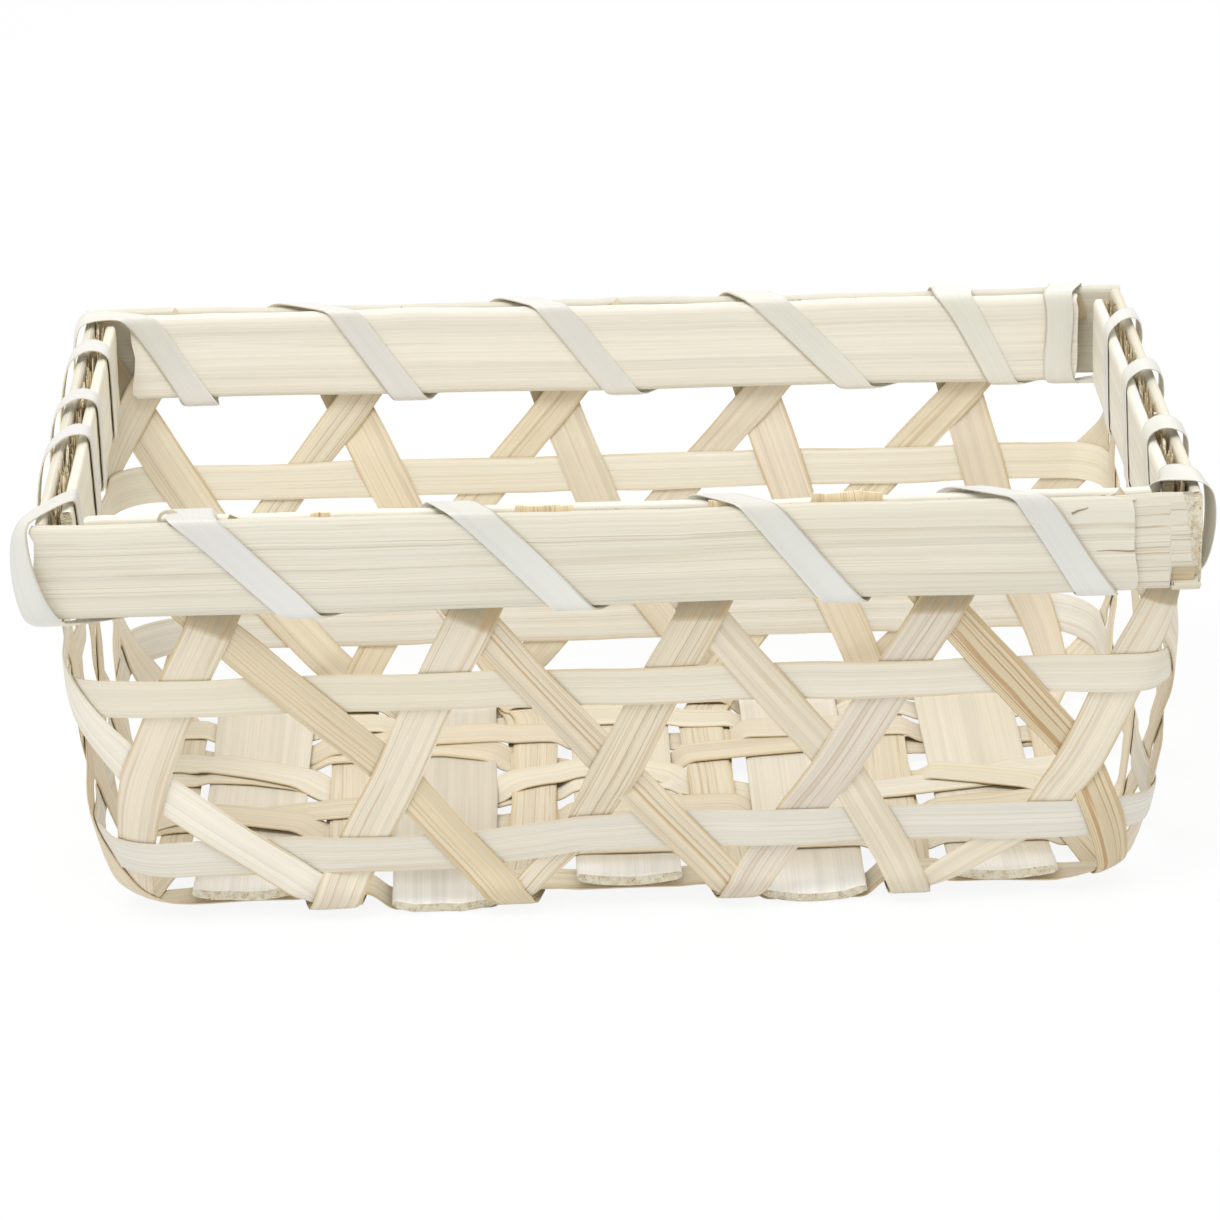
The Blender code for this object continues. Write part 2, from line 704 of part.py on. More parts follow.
def add_rim_slat(collection, name, low, high, colour):
    """A straight slat between two opposite corners given in plan."""
    work = bmesh.new()
    bmesh.ops.create_cube(work, size=1.0)
    size = (high[0] - low[0], high[1] - low[1], RIM_BAND)
    bmesh.ops.scale(work, vec=size, verts=work.verts)
    centre = ((low[0] + high[0]) / 2, (low[1] + high[1]) / 2, RIM_TOP - RIM_BAND / 2)
    bmesh.ops.translate(work, vec=centre, verts=work.verts)
    item = add_object(collection, name, work, colour, 0.5)
    soften(item, RIM_ROUND)


def add_rim(collection):
    x_out, y_out = LENGTH / 2, DEPTH / 2
    splice = x_out - SPLICE_LONG
    add_rim_slat(collection, "rim_outer_front", (-x_out, -y_out),
                 (splice - END_GAP, -y_out + RIM_SLAT), CREAM)
    add_rim_slat(collection, "rim_outer_front_splice", (splice, -y_out + SPLICE_RECESS),
                 (x_out - END_GAP, -y_out + RIM_SLAT), CREAM)
    add_rim_slat(collection, "rim_outer_back", (-x_out, y_out - RIM_SLAT), (x_out, y_out), CREAM)
    between = y_out - RIM_SLAT - END_GAP
    add_rim_slat(collection, "rim_outer_right", (x_out - RIM_SLAT, -between), (x_out, between), CREAM)
    add_rim_slat(collection, "rim_outer_left", (-x_out, -between), (-x_out + RIM_SLAT, between), CREAM)
    x_in = x_out - RIM_SLAT - STAKE_ROOM
    y_in = y_out - RIM_SLAT - STAKE_ROOM
    x_end = x_in - RIM_SLAT - INNER_SHORT
    y_end = y_in - RIM_SLAT - INNER_SHORT
    add_rim_slat(collection, "rim_inner_front", (-x_end, -y_in), (x_end, -y_in + RIM_SLAT), TAN)
    add_rim_slat(collection, "rim_inner_back", (-x_end, y_in - RIM_SLAT), (x_end, y_in), TAN)
    add_rim_slat(collection, "rim_inner_right", (x_in - RIM_SLAT, -y_end), (x_in, y_end), TAN)
    add_rim_slat(collection, "rim_inner_left", (-x_in, -y_end), (-x_in + RIM_SLAT, y_end), TAN)


# lashing

def lashing_turns():
    """Corners of the rough path: unit along the rim, 1 outside or 0 inside, 1 above or 0 below."""
    tops = list(LASHING_TOP_SHARES)
    lows = list(LASHING_LOW_SHARES)
    before = lows[-1] - UNITS
    head = before + LASHING_HEAD_SHARE * (tops[0] - before)
    corners = [(head, 0.0, LASHING_HEAD_SHARE)]
    leans = zip(LASHING_TOP_LEAN_SHARES, LASHING_LOW_LEAN_SHARES)
    for top, low, (lean, below) in zip(tops, lows, leans):
        corners.append((top - lean, 0.0, 1.0))
        corners.append((top + lean, 1.0, 1.0))
        corners.append((low - below, 1.0, 0.0))
        corners.append((low + below, 0.0, 0.0))
    tail = lows[-1] + LASHING_TAIL_SHARE * (tops[0] + UNITS - lows[-1])
    corners.append((tail, 0.0, LASHING_TAIL_SHARE))
    return np.array(corners)


def rim_point(unit, out, up):
    """Point beside the rim: out blends from the inner to the outer face, up from below to above."""
    x_out, y_out = LENGTH / 2 + LASHING_SIDE, DEPTH / 2 + LASHING_SIDE
    loop = CORNER_LOOP * np.exp(-(corner_distance(unit) / LASHING_WIDE) ** 2)
    sides = SIDE_LOOP * side_share(unit)
    x_far, y_far = plan_point(unit, x_out + loop + sides, y_out + loop, LASHING_CORNER)
    thick = 2 * RIM_SLAT + STAKE_ROOM + 2 * LASHING_SIDE
    x_near, y_near = plan_point(unit, x_out - thick, y_out - thick, INNER_CORNER)
    low, high = RIM_LOW - LASHING_UNDER, RIM_TOP + LASHING_OVER
    x = x_near + out * (x_far - x_near)
    y = y_near + out * (y_far - y_near)
    return np.stack([x, y, low + up * (high - low)], axis=1)


def side_share(unit):
    """One along the left and the right of the basket, easing to zero at their corners."""
    unit = np.mod(unit, UNITS)
    corners = np.cumsum(SIDE_UNITS)
    right = np.minimum(unit - corners[0], corners[1] - unit)
    left = np.minimum(unit - corners[2], corners[3] - unit)
    return np.clip(2 * np.maximum(right, left), 0.0, 1.0)


def corner_distance(unit):
    """Rough distance along the rim to the nearest corner of the basket."""
    starts = np.cumsum((0,) + SIDE_UNITS)
    gaps = np.abs(np.mod(unit, UNITS)[:, None] - starts[None])
    return gaps.min(axis=1) * LENGTH / SIDE_UNITS[0]


def lashing_span(unit, points):
    """Half width of the band measured along the rim, in weave units."""
    unit_long = 2 * HALF_X / SIDE_UNITS[0]
    along = np.gradient(unit) * unit_long
    total = np.linalg.norm(np.gradient(points, axis=0), axis=1)
    upright = np.sqrt(np.maximum(1 - (along / total) ** 2, 0.25))
    return smooth(LASHING_WIDE / 2 / upright, LASHING_EASE) / unit_long


def add_lashing(collection):
    corners = lashing_turns()
    placed = rim_point(corners[:, 0], corners[:, 1], corners[:, 2])
    lengths = np.linalg.norm(np.diff(placed, axis=0), axis=1)
    counts = np.maximum(2, np.ceil(lengths / STEP).astype(int))
    runs = []
    for first, second, count in zip(corners, corners[1:], counts):
        share = (np.arange(count) / count)[:, None]
        runs.append(first + share * (second - first))
    path = np.concatenate(runs + [corners[-1:]])
    unit = smooth(path[:, 0], LASHING_EASE)
    span = lashing_span(unit, rim_point(unit, path[:, 1], path[:, 2]))
    rails = [smooth(rim_point(unit + side * span, path[:, 1], path[:, 2]), 2) for side in (-1, 1)]
    rows = thin_out(np.stack(rails, axis=1), LASHING_SAG)
    sheet(collection, "lashing", rows, LASHING, LIGHT_GREY)


def main():
    clear_scene()
    collection = make_collection("berry_basket")
    add_rim(collection)
    add_lashing(collection)
    add_wall_weaver(collection, "weaver_upper", UPPER_WEAVER, UPPER_WIDE)
    add_wall_weaver(collection, "weaver_lower", LOWER_WEAVER, LOWER_WIDE)
    add_base_slats(collection)
    add_base_weavers(collection)
    add_columns(collection)
    add_rows(collection)


main()
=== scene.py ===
import math

import bpy
import numpy as np
from mathutils import Matrix


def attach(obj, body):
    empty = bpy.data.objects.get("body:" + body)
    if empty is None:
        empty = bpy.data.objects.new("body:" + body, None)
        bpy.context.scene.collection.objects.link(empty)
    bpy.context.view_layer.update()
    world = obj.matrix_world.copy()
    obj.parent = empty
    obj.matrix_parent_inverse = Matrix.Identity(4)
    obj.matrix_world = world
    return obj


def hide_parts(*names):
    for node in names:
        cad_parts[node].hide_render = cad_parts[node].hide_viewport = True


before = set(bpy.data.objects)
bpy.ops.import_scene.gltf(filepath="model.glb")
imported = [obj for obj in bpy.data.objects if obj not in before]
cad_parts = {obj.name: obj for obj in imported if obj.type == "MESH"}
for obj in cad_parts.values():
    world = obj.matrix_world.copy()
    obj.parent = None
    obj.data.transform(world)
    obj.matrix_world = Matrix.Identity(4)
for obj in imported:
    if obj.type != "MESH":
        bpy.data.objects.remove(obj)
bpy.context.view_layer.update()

# overall sizes in metres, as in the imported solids
LENGTH = 0.2200
DEPTH = 0.1364
RIM_TOP = 0.0870
RIM_BAND = 0.0187
MM = 0.001

# strips; the gaps between them are thinner than in the solids, so that they seem to press on each other
STRIP = 0.0005
LAYER = 0.00032
PAIR_LAYER = 0.00030
PAIR_HALF = PAIR_LAYER + STRIP / 2
ROW_ROOM = 0.0002
FOLD_WIDE = 0.0076
SLASH_WIDE = 0.0092
BACKSLASH_WIDE = 0.0076
LOW_SLASH_WIDE = 0.0082
UPPER_WIDE = 0.0079
LOWER_WIDE = 0.0078
BASE_WIDE = 0.0096
PAIR_WIDE = 0.0092
THIN_EDGE = 0.45
TEAR = 0.0006

# rim; a trim raises the top and the foot of a slat towards its second end
RIM_SLAT = 0.0022
STAKE_ROOM = 0.0022
RIM_MARGIN = 0.004
SPLICE_LONG = 0.0124
SPLICE_RECESS = 0.0008
END_GAP = 0.0005
INNER_SHORT = 0.0030
SPLICE_UNDER = 0.0040
SPLICE_BEVEL = 0.0024
NOTCH = 0.0042
NOTCH_LONG = 0.0054
BLOCK = 0.0015
SLIVER_LONG = 0.0060
SLAT_PACE = 0.0018
BLOCK_PACE = 0.0004
HOLLOW_PACE = 0.0006
RAGGED = 0.0004
RAGGED_FRONT = 0.0007
RIDGE = 0.00007
BACK_TRIM = (0.0006, 0.0012)
INNER_BACK_TRIM = (0.0008, 0.0014)
NO_TRIM = (0.0, 0.0)

# lashing
LASHING = 0.0004
LASHING_WIDE = 0.0059
LASHING_SIDE = 0.00040
LASHING_OVER = 0.0011
LASHING_UNDER = 0.0008
CORNER_LOOP = 0.0034
CORNER_ROUND = 0.0072
FRONT_LEFT_LOOP = 0.0019
FRONT_RIGHT_LOOP = 0.0017
SIDE_LOOP = 0.0022
SIDE_ARCH = 0.0016
LASHING_CORNER = 0.0018
INNER_CORNER = 0.0042
LOOP_SPREAD = 1.6 * LASHING_WIDE
FRONT_SPREAD = 1.4 * LASHING_WIDE

# the woven skin
WALL_LEAN = 0.120
SIDE_TUCK = 0.0066
CORNER_TOP = 0.0050
CORNER_BASE = 0.0190
EDGE = 0.0040

# heights of the crossings on the walls
FOLD_HEIGHT = 0.0036
FOLD_DROP = 0.0016
DROP_START = 0.0420
DROP_END = 0.0540
DROP_TOP = 0.0110
LOWER_WEAVER = 0.0172
MIDDLE_CROSSING = 0.0317
UPPER_WEAVER = 0.0499
TOP_CROSSING = 0.0653
STAKE_TOP = 0.0852
STAKE_RAGGED = 0.0012
TIP_LEAN = 0.9

# slats of the base; they are bent at their ends and cambered across
SLAT_SHOWN = 0.0206
SLAT_THICK = 0.0019
SLAT_INSIDE = 0.0013
SLAT_END = 0.0545
SLAT_DIP = 0.0024
SLAT_EASE = 0.0010
SLAT_TIP = 0.0012
SLAT_RISE = 0.0022
BEND_START = 0.0360
BEND_END = 0.0500
TIP_START = 0.0500
SLAT_CAMBER = 0.0002
END_CAMBER = 0.0010
CAMBER_START = 0.0440
SLAT_TEAR = 0.0005

# columns of the slats whose ends bend down; the ends of the others bend up, the middle one's the most
DIPPED_SLATS = (3, 7)
MIDDLE_SLAT = 5
OUTER_RISE_SHARE = 0.6

# rows and edge strips of the base
ROW_EDGE = 0.0482
COLUMN_EDGE = 0.0900
EDGE_WIDE = 0.0066
FILLER_END = 0.0941
COLUMN_SPREAD = 0.0012
EDGE_ROW_LEVEL = STRIP * 0.62

# the lower weaver hangs below its mean height at the left of the front and lies above it at the right;
# each change begins and ends at two pairs of places, in weave units
LOWER_DIP = 0.0026
LOWER_LIFT = 0.0010
DIP_UNITS = (-1.0, 0.0, 1.6, 2.2)
LIFT_UNITS = (1.7, 2.4, 4.6, 5.6)
DIP_SEAM = 1.5
LOWER_AHEAD = 0.35

# how much straighter than the solids some of the right-rising strips run above the lower weaver
STRAIGHTEN = {(1, 1): 0.25, (2, 1): 0.85, (4, 1): 0.80}

# folds at which the strip that rises to the right is the outer one, on both ends of a pair
SWAPPED_FOLDS = (1, 12, 3, 10)

# first folds of the pairs whose strips have their rows laid level
LEVEL_FOLDS = (2, 3)

# folds at which the strip that rises to the right is narrow, there and at the lower weaver
SLIM_FOLDS = (2, 4)
SLIM_FOLD_SHARE = 0.62
SLIM_LOW_SHARE = 0.80

# the first fold of the front: the strip that rises to the right is wide there and runs on slanted
WIDE_END = (1, 1)
WIDE_FOLD = 0.0092
WIDE_FOLD_SHIFT = -0.0012
WIDE_FOLD_LEAN = -0.0034
WIDE_FOLD_REACH = 0.0046

# tones are lightness, warmth and strength of the lines; by fold and way for the wall ends of the front
PLAIN = (1.0, 0.15, 0.35)
FRONT_SHARES = {
    (0, 1): (1.06, 0.10, 0.40), (1, 1): (1.09, -0.05, 0.60), (2, 1): (1.03, 0.22, 0.80),
    (3, 1): (1.00, 0.12, 0.60), (4, 1): (1.06, 0.02, 0.60), (5, 1): (1.03, 0.30, 0.40),
    (0, -1): (1.04, 0.40, 0.60), (1, -1): (1.09, -0.4, 0.30), (2, -1): (1.01, 0.75, 0.80),
    (3, -1): (1.02, 0.35, 0.85), (4, -1): (1.03, 0.10, 0.30), (5, -1): (0.99, 0.95, 1.80),
}
OTHER_TONES = ((1.04, 1.13), (-0.1, 0.35), (0.15, 0.7))
BASE_TONE = (0.965, 0.36, 0.6)
BASE_WEAVER_TONE = (0.99, 0.28, 0.50)
LOWER_TONE = (0.955, -0.35, 0.45)
UPPER_TONE = (1.03, 0.18, 0.30)
SLAT_LIGHTNESS = (0.94, 0.83, 0.95, 0.96, 0.96)
SLAT_TONE_INSIDE = (0.34, 0.4)
# lightness and warmth at the ends of the slats: painted light, paler where the ends stand in the light
SLAT_ENDS_PAINTED_LIGHT = (1.18, -0.70)
OUTER_TONE = (0.93, 0.0, 0.55)
INNER_TONE = (1.11, -0.4, 0.25)
INNER_LEFT_TONE = (1.10, 0.0, 0.15)
SPLICE_TONE = (0.92, 0.15, 1.8)
BLOCK_TONE = (0.95, 0.3, 0.9)
HOLLOW_TONE = (0.98, 1.0, 1.4)
SLIVER_TONE = (0.95, 0.3, 0.5)
# tips of the stakes: their own warmer colour, and lighter as painted light in the shade between the rim slats
TIP_TONE_AND_LIGHT = (1.25, 0.9, 0.9)
# dark tone of the crack slivers: painted shade in the splits
CRACK_PAINTED_SHADE = (0.42, 1.0, 1.0)

# painted shadow of the rim: under it a strip's lightness is multiplied by the first and the others are added;
# this painted shadow is full down to the first distance below the top crossing and gone at the second
RIM_PAINTED_SHADOW = (0.57, 1.7, 0.8)
SHADE_FULL = 0.0004
SHADE_START = 0.0014

# how much paler the weavers are along the back
BACK_TONE = (0.10, -0.20, 0.0)

# lightness of the lashing: all over, and more low on the rim, at the back and, as painted light against its
# shade, on the right front loop
LASHING_LIGHTNESS = (0.96, 0.05, 0.13, 0.14)
LASHING_WARMTH = (0.10, -0.30)
LASHING_LINES = 0.5

# stakes that stand above the front rim: place, width and height
STAKE_TIPS = (
    (0.0426, 0.0112, 0.0020), (-0.0142, 0.0094, 0.0008),
    (0.0190, 0.0040, 0.0008), (-0.0560, 0.0030, 0.0007),
)

# the curled fibre on the front rim: place, width and height
CURL = (-0.0845, 0.0040, 0.0016)

# cracks in the front slat, drawn as dark slivers of painted shade: place and height of both ends, and width
CRACKS = ((0.0850, 0.0843, 0.0881, 0.0855, 0.0004), (0.0970, 0.0766, 0.0898, 0.0767, 0.0003))

# strips of the base rows from front to back: places at the eleven columns in millimetres,
# and the columns passed over
BASE_ROWS = (
    (((-48.2,) * 11, (2, 4, 6, 8)),),
    (((-33.0, -33.5, -33.5, -33.0, -33.0, -33.0, -33.0, -33.0, -32.5, -32.0, -32.0), (1, 3, 5, 7, 9)),),
    (((-11.0, -15.5, -22.5, -20.0, -18.0, -16.0, -13.0, -15.0, -21.0, -20.0, -15.0), (0, 1, 5, 6, 9, 10)),
     ((-14.0, -14.5, -10.5, -13.5, -16.5, -19.0, -17.0, -18.0, -22.0, -17.0, -18.0), (0, 1, 2, 5, 6, 9, 10))),
    (((16.5, 9.3, -1.5, -5.0, 3.5, 7.0, -3.0, -6.0, 2.0, -3.5, -9.0), (0, 1, 4, 5, 9, 10)),
     ((10.0, 7.8, 0.0, -3.0, -1.0, 1.0, -2.0, -10.0, -8.3, -3.8, 4.0), (0, 1, 5, 8, 9, 10))),
    (((21.0, 21.5, 24.0, 26.0, 27.3, 26.0, 25.0, 25.0, 26.0, 26.0, 22.0), (2, 3, 4, 7, 8)),
     ((20.5, 19.5, 20.0, 21.0, 14.0, 11.0, 14.5, 17.5, 18.5, 24.0, 21.0), (2, 3, 6, 7))),
    (((36.0, 36.0, 36.5, 37.0, 36.0, 36.0, 34.0, 35.0, 38.5, 39.0, 35.0), (0, 2, 5, 6, 8, 10)),),
    (((48.2,) * 11, (2, 4, 6, 8)),),
)

# how finely the pieces are drawn, and how far they stay level
STEP = 0.0007
SAG = 0.00003
TURN = 0.0030
FLAT_MARGIN = 0.0002
FOLD_REACH = 0.0022
CORNER_REACH = 0.0045
RAILS = 9
PROFILE = (THIN_EDGE,) + (1.0,) * (RAILS - 2) + (THIN_EDGE,)
SHARP = math.radians(48)
FIBRE_SHIFT = 0.37
UPRIGHT_SINE = 0.05

# share of a crossing on which a strip stays level, on the walls and in the rows of the base
LEVEL_SHARE = 0.8
ROW_LEVEL_SHARE = 0.95

# rounds of smoothing, and of the steps towards the skin
STRIP_ROUNDS = 14
BASE_ROUNDS = 8
WEAVER_ROUNDS = 4
LAYER_ROUNDS = 3
LASHING_ROUNDS = 8
LASHING_EASE = 70
SETTLE_ROUNDS = 6

# wavering lines: length of a wave and its height
LEFT_WAVE = (0.011, 0.00022)
RIGHT_WAVE = (0.009, 0.00022)
CURL_WAVE = (0.014, 0.00010)
SLAT_WAVE = (0.018, 0.00030)
SLAT_SWAY = (0.02, 0.00005)
RIM_WAVE = (0.016, 0.00030)
RIM_ROUGH = (0.0035, 0.00010)
RIM_LOW_WAVE = (0.02, 0.00025)
RIM_BOW = (0.05, 0.00012)
CRACK_WAVE = (0.2, 0.00015)

# materials of a strip: its faces, its cut ends, its sides and, on the lashing, its inside
FACE, CUT, SIDE, INSIDE = range(4)

# positions along the sides, in weave units counted from the front left corner, and shares of the sizes
SIDE_UNITS = (5, 3, 5, 3)
CORNERS = (0, 5, 8, 13)
UNITS = sum(SIDE_UNITS)
TOP_SHIFT_SHARES = (-0.31, -0.35, -0.17, -0.14, -0.06, -0.05, -0.10, -0.15,
                    -0.26, -0.30, -0.27, -0.25, -0.20, -0.10, -0.10, -0.12)
MIDDLE_SHIFT_SHARES = (-0.25, -0.07, -0.04, 0.00, 0.14, -0.04) + (-0.05,) * 9 + (-0.10,)
FOLD_SHARES = (-0.254, -0.101, 0.100, 0.253)
PAIR_SHARES = (-0.250, -0.080, 0.085, 0.252)
SLAT_SHARES = (-0.339, -0.162, 0.003, 0.168, 0.338)
RAGGED_SHARES = (0.0, 0.9, 0.3, -0.6, 0.5, 1.0, -0.2, 0.4, 0.8, -0.5, 0.1, 0.7, -0.9, 0.6, 0.2, -0.3)
LASHING_TOP_SHARES = (0.60, 1.79, 3.01, 4.18, 5.15, 5.78, 6.62, 7.40, 8.20,
                      8.76, 9.74, 10.86, 11.94, 13.05, 13.62, 14.38, 14.93, 15.88)
LASHING_LOW_SHARES = (1.20, 2.37, 3.52, 4.61, 5.36, 6.30, 7.15, 8.02, 8.38,
                      9.12, 10.34, 11.46, 12.55, 13.42, 14.20, 14.62, 15.37, 16.20)
LASHING_TOP_LEAN_SHARES = (0.08,) * 13 + (0.14, 0.08, 0.06, 0.08, 0.08)
LASHING_LOW_LEAN_SHARES = (0.06,) * 7 + (0.14, 0.04) + (0.06,) * 8 + (0.14,)
LASHING_TAIL_SHARE = 0.24
LASHING_HEAD_SHARE = 0.55

# sizes that follow from the ones above
HALF_X = LENGTH / 2 - RIM_SLAT - STAKE_ROOM / 2
HALF_Y = DEPTH / 2 - RIM_SLAT - STAKE_ROOM / 2
RIM_LOW = RIM_TOP - RIM_BAND
BASE_MID = SLAT_THICK / 2 + SLAT_DIP
NUDGE = STRIP / 50
SLATS_X = tuple(LENGTH * share for share in SLAT_SHARES)
PAIRS_X = tuple(LENGTH * share for share in PAIR_SHARES)
FOLDS_X = tuple(LENGTH * share for share in FOLD_SHARES)
UNIT_LONG = 2 * HALF_X / SIDE_UNITS[0]
COLUMNS = sorted([("edge", -COLUMN_EDGE), ("edge", COLUMN_EDGE), *(("slat", x) for x in SLATS_X),
                  *(("pair", x) for x in PAIRS_X)], key=lambda column: column[1])
COLUMN_WIDE = {"slat": SLAT_SHOWN, "pair": PAIR_WIDE, "edge": EDGE_WIDE}
EDGE_ROWS = (0, len(BASE_ROWS) - 1)

# widths on the walls, at the lower weaver and above it, of the strips that rise to the right and to the left
WALL_WIDE = {1: (LOW_SLASH_WIDE, SLASH_WIDE), -1: (FOLD_WIDE, BACKSLASH_WIDE)}

# camera, fitted to the corners of the rim in the photograph
CAMERA_FOCAL = 4982.3
PICTURE = 1220
CAMERA_AWAY = 1.02822
CAMERA_PITCH = math.radians(20.623)
CAMERA_YAW = math.radians(0.824)
CAMERA_ROLL = math.radians(-1.310)
CAMERA_RIGHT = -0.00121
CAMERA_UP = 0.03743
CAMERA_RAISE = 0.0019
SENSOR = 36
CLIP = 0.01

# floor, sky and the two lamps: place, width and power
FLOOR_REACH = 6.0
FLOOR_GREY = (0.86, 0.86, 0.86)
FLOOR_WHITE = 0.90
SKY = 0.73
WHITE = (1, 1, 1)
LAMPS = (("key", (-0.30, -0.50, 1.2), 0.7, 9.4), ("fill", (0.5, 0.9, 0.8), 0.9, 3.0))
LAMP_AIM = 0.04

# depths of the grooves between the fibres and of the pores of cut ends
GROOVE = 0.00018
PORE = 0.0003

# colours that the bamboo blends towards: warm, pale, and the husk along its edges, which partly stands for
# painted shade there
WARM = (0.74, 0.62, 0.41)
PALE = (0.86, 0.84, 0.79)
HUSK = (0.62, 0.47, 0.24)
DARK_HUSK = (0.36, 0.30, 0.21)

# bamboo materials: three tones, colour and share of the lines, roughness, bump and pitch of the fibres, and
# where given the depth of the shades, the share of the brown edges, which are worn husk and partly painted
# shade, and whether only one edge has them
BAMBOOS = {
    "rim_bamboo": (((0.83, 0.79, 0.67), (0.81, 0.77, 0.64), (0.83, 0.78, 0.63)),
                   (0.54, 0.45, 0.30), 0.80, 0.50, 0.40, 0.62, 0.09),
    "strip_bamboo": (((0.80, 0.73, 0.63), (0.79, 0.71, 0.56), (0.83, 0.77, 0.62)),
                     (0.52, 0.35, 0.18), 1.0, 0.55, 0.55, 0.74, 0.10, 0.80),
    "weaver_bamboo": (((0.82, 0.79, 0.72), (0.82, 0.78, 0.66), (0.81, 0.75, 0.60)),
                      (0.62, 0.50, 0.32), 0.9, 0.50, 0.40, 0.8, 0.08, 0.55),
    "slat_bamboo": (((0.86, 0.83, 0.77), (0.84, 0.80, 0.71), (0.82, 0.76, 0.64)),
                    (0.70, 0.60, 0.44), 0.40, 0.40, 0.25, 0.9, 0.09),
    "lashing_bamboo": (((0.74, 0.74, 0.67), (0.70, 0.70, 0.65), (0.72, 0.70, 0.70)),
                       (0.66, 0.62, 0.54), 0.20, 0.36, 0.10, 1.2, 0.04, 0.65, True),
    "lashing_inside": (((0.80, 0.79, 0.72), (0.79, 0.77, 0.69), (0.78, 0.74, 0.65)),
                       (0.55, 0.46, 0.34), 0.5, 0.6, 0.4, 1.0),
    "edge": (((0.76, 0.66, 0.45), (0.68, 0.55, 0.34), (0.80, 0.72, 0.52)),
             (0.42, 0.26, 0.13), 0.7, 0.65, 0.4, 0.5),
}

# the way that the front faces
FORWARD = np.array([0.0, -1.0, 0.0])

# materials, made once and shared
looks = {}


def dice(seed):
    """A repeatable source of small irregularities."""
    return np.random.default_rng(int(seed))


# the woven skin

def wall_sizes(z):
    below = np.maximum(RIM_LOW - z, 0.0)
    tuck = SIDE_TUCK * (below / RIM_LOW) ** 3
    corner = CORNER_TOP + (CORNER_BASE - CORNER_TOP) * below / RIM_LOW
    return HALF_X - tuck, HALF_Y - below * WALL_LEAN, corner


def outside(points):
    """Distance of each point outside the middle of the woven skin."""
    half_x, half_y, corner = wall_sizes(points[:, 2])
    from_x = np.abs(points[:, 0]) - half_x + corner
    from_y = np.abs(points[:, 1]) - half_y + corner
    beyond = np.hypot(np.maximum(from_x, 0.0), np.maximum(from_y, 0.0))
    wall = beyond + np.minimum(np.maximum(from_x, from_y), 0.0) - corner
    base = BASE_MID - points[:, 2]
    rounded = np.hypot(np.maximum(wall + EDGE, 0.0), np.maximum(base + EDGE, 0.0))
    return np.minimum(np.maximum(wall, base) + EDGE, 0.0) + rounded - EDGE


def slope(points):
    rises = [outside(points + NUDGE * axis) - outside(points - NUDGE * axis) for axis in np.eye(3)]
    return np.stack(rises, axis=1) / (2 * NUDGE)


def settle(points, offset):
    """Move points along the normal until they lie at the offset from the skin."""
    for _ in range(SETTLE_ROUNDS):
        rise = slope(points)
        miss = (outside(points) - offset) / (rise * rise).sum(axis=1)
        points = points - miss[:, None] * rise
    return points


def unit_rows(vectors):
    return vectors / np.maximum(np.linalg.norm(vectors, axis=-1, keepdims=True), 1e-12)


def side_point(along, half_long, half_off, corner):
    """Point of one side, along running from -1 to 1 between the middles of its two corners."""
    straight = half_long - corner
    reach = np.abs(along) * (straight + math.pi / 4 * corner)
    turn = np.clip((reach - straight) / corner, 0.0, math.pi / 4)
    forward = np.minimum(reach, straight) + corner * np.sin(turn)
    return np.sign(along) * forward, -(half_off - corner) - corner * np.cos(turn)


def plan_point(unit, half_x, half_y, corner):
    """Point of a rounded rectangle, counted in weave units from the front left corner."""
    unit = np.mod(unit, UNITS)
    x = y = np.zeros_like(unit)
    for side, (start, count) in enumerate(zip(CORNERS, SIDE_UNITS)):
        here = (unit >= start) & (unit <= start + count)
        halves = (half_x, half_y) if side % 2 == 0 else (half_y, half_x)
        forward, off = side_point(2 * (unit - start) / count - 1, *halves, corner)
        turned = ((forward, off), (-off, forward), (-forward, -off), (off, -forward))[side]
        x = np.where(here, turned[0], x)
        y = np.where(here, turned[1], y)
    return x, y


def on_skin(space, first, second):
    """Points by unit and height on the walls, or by x and y in the base."""
    first = np.atleast_1d(np.asarray(first, dtype=float))
    second = np.broadcast_to(np.asarray(second, dtype=float), first.shape)
    if space == "base":
        return np.stack([first, second, np.full_like(first, BASE_MID)], axis=1)
    x, y = plan_point(first, *wall_sizes(second))
    return np.stack([x, y, second], axis=1)


# strips that follow the skin; a station is its space, its two places there, its offset from the skin
# and how far along the strip it stays level

def leg(first, second):
    """Closely spaced points from one station to the next, the last one left out."""
    start, stop = on_skin(*first[:3])[0], on_skin(*second[:3])[0]
    count = max(2, math.ceil(np.linalg.norm(stop - start) / STEP))
    share = np.arange(count) / count
    if first[0] != second[0]:
        return start + share[:, None] * (stop - start)
    return on_skin(first[0], first[1] + share * (second[1] - first[1]),
                   first[2] + share * (second[2] - first[2]))


def smooth(points, rounds):
    points = points.copy()
    for _ in range(rounds):
        points[1:-1] = (points[:-2] + 2 * points[1:-1] + points[2:]) / 4
    return points


def eased(value, start, stop):
    """Rises softly from zero to one between start and stop."""
    share = np.clip((value - start) / (stop - start), 0.0, 1.0)
    return share * share * (3 - 2 * share)


def follow(stations, rounds):
    """Points on the skin through all stations, and the index of every station."""
    runs = []
    marks = [0]
    for first, second in zip(stations, stations[1:]):
        runs.append(leg(first, second))
        marks.append(marks[-1] + len(runs[-1]))
    runs.append(on_skin(*stations[-1][:3]))
    points = smooth(np.concatenate(runs), rounds)
    return settle(points, 0.0), marks


def distance_along(points):
    steps = np.linalg.norm(np.diff(points, axis=0), axis=1)
    return np.concatenate([[0.0], np.cumsum(steps)])


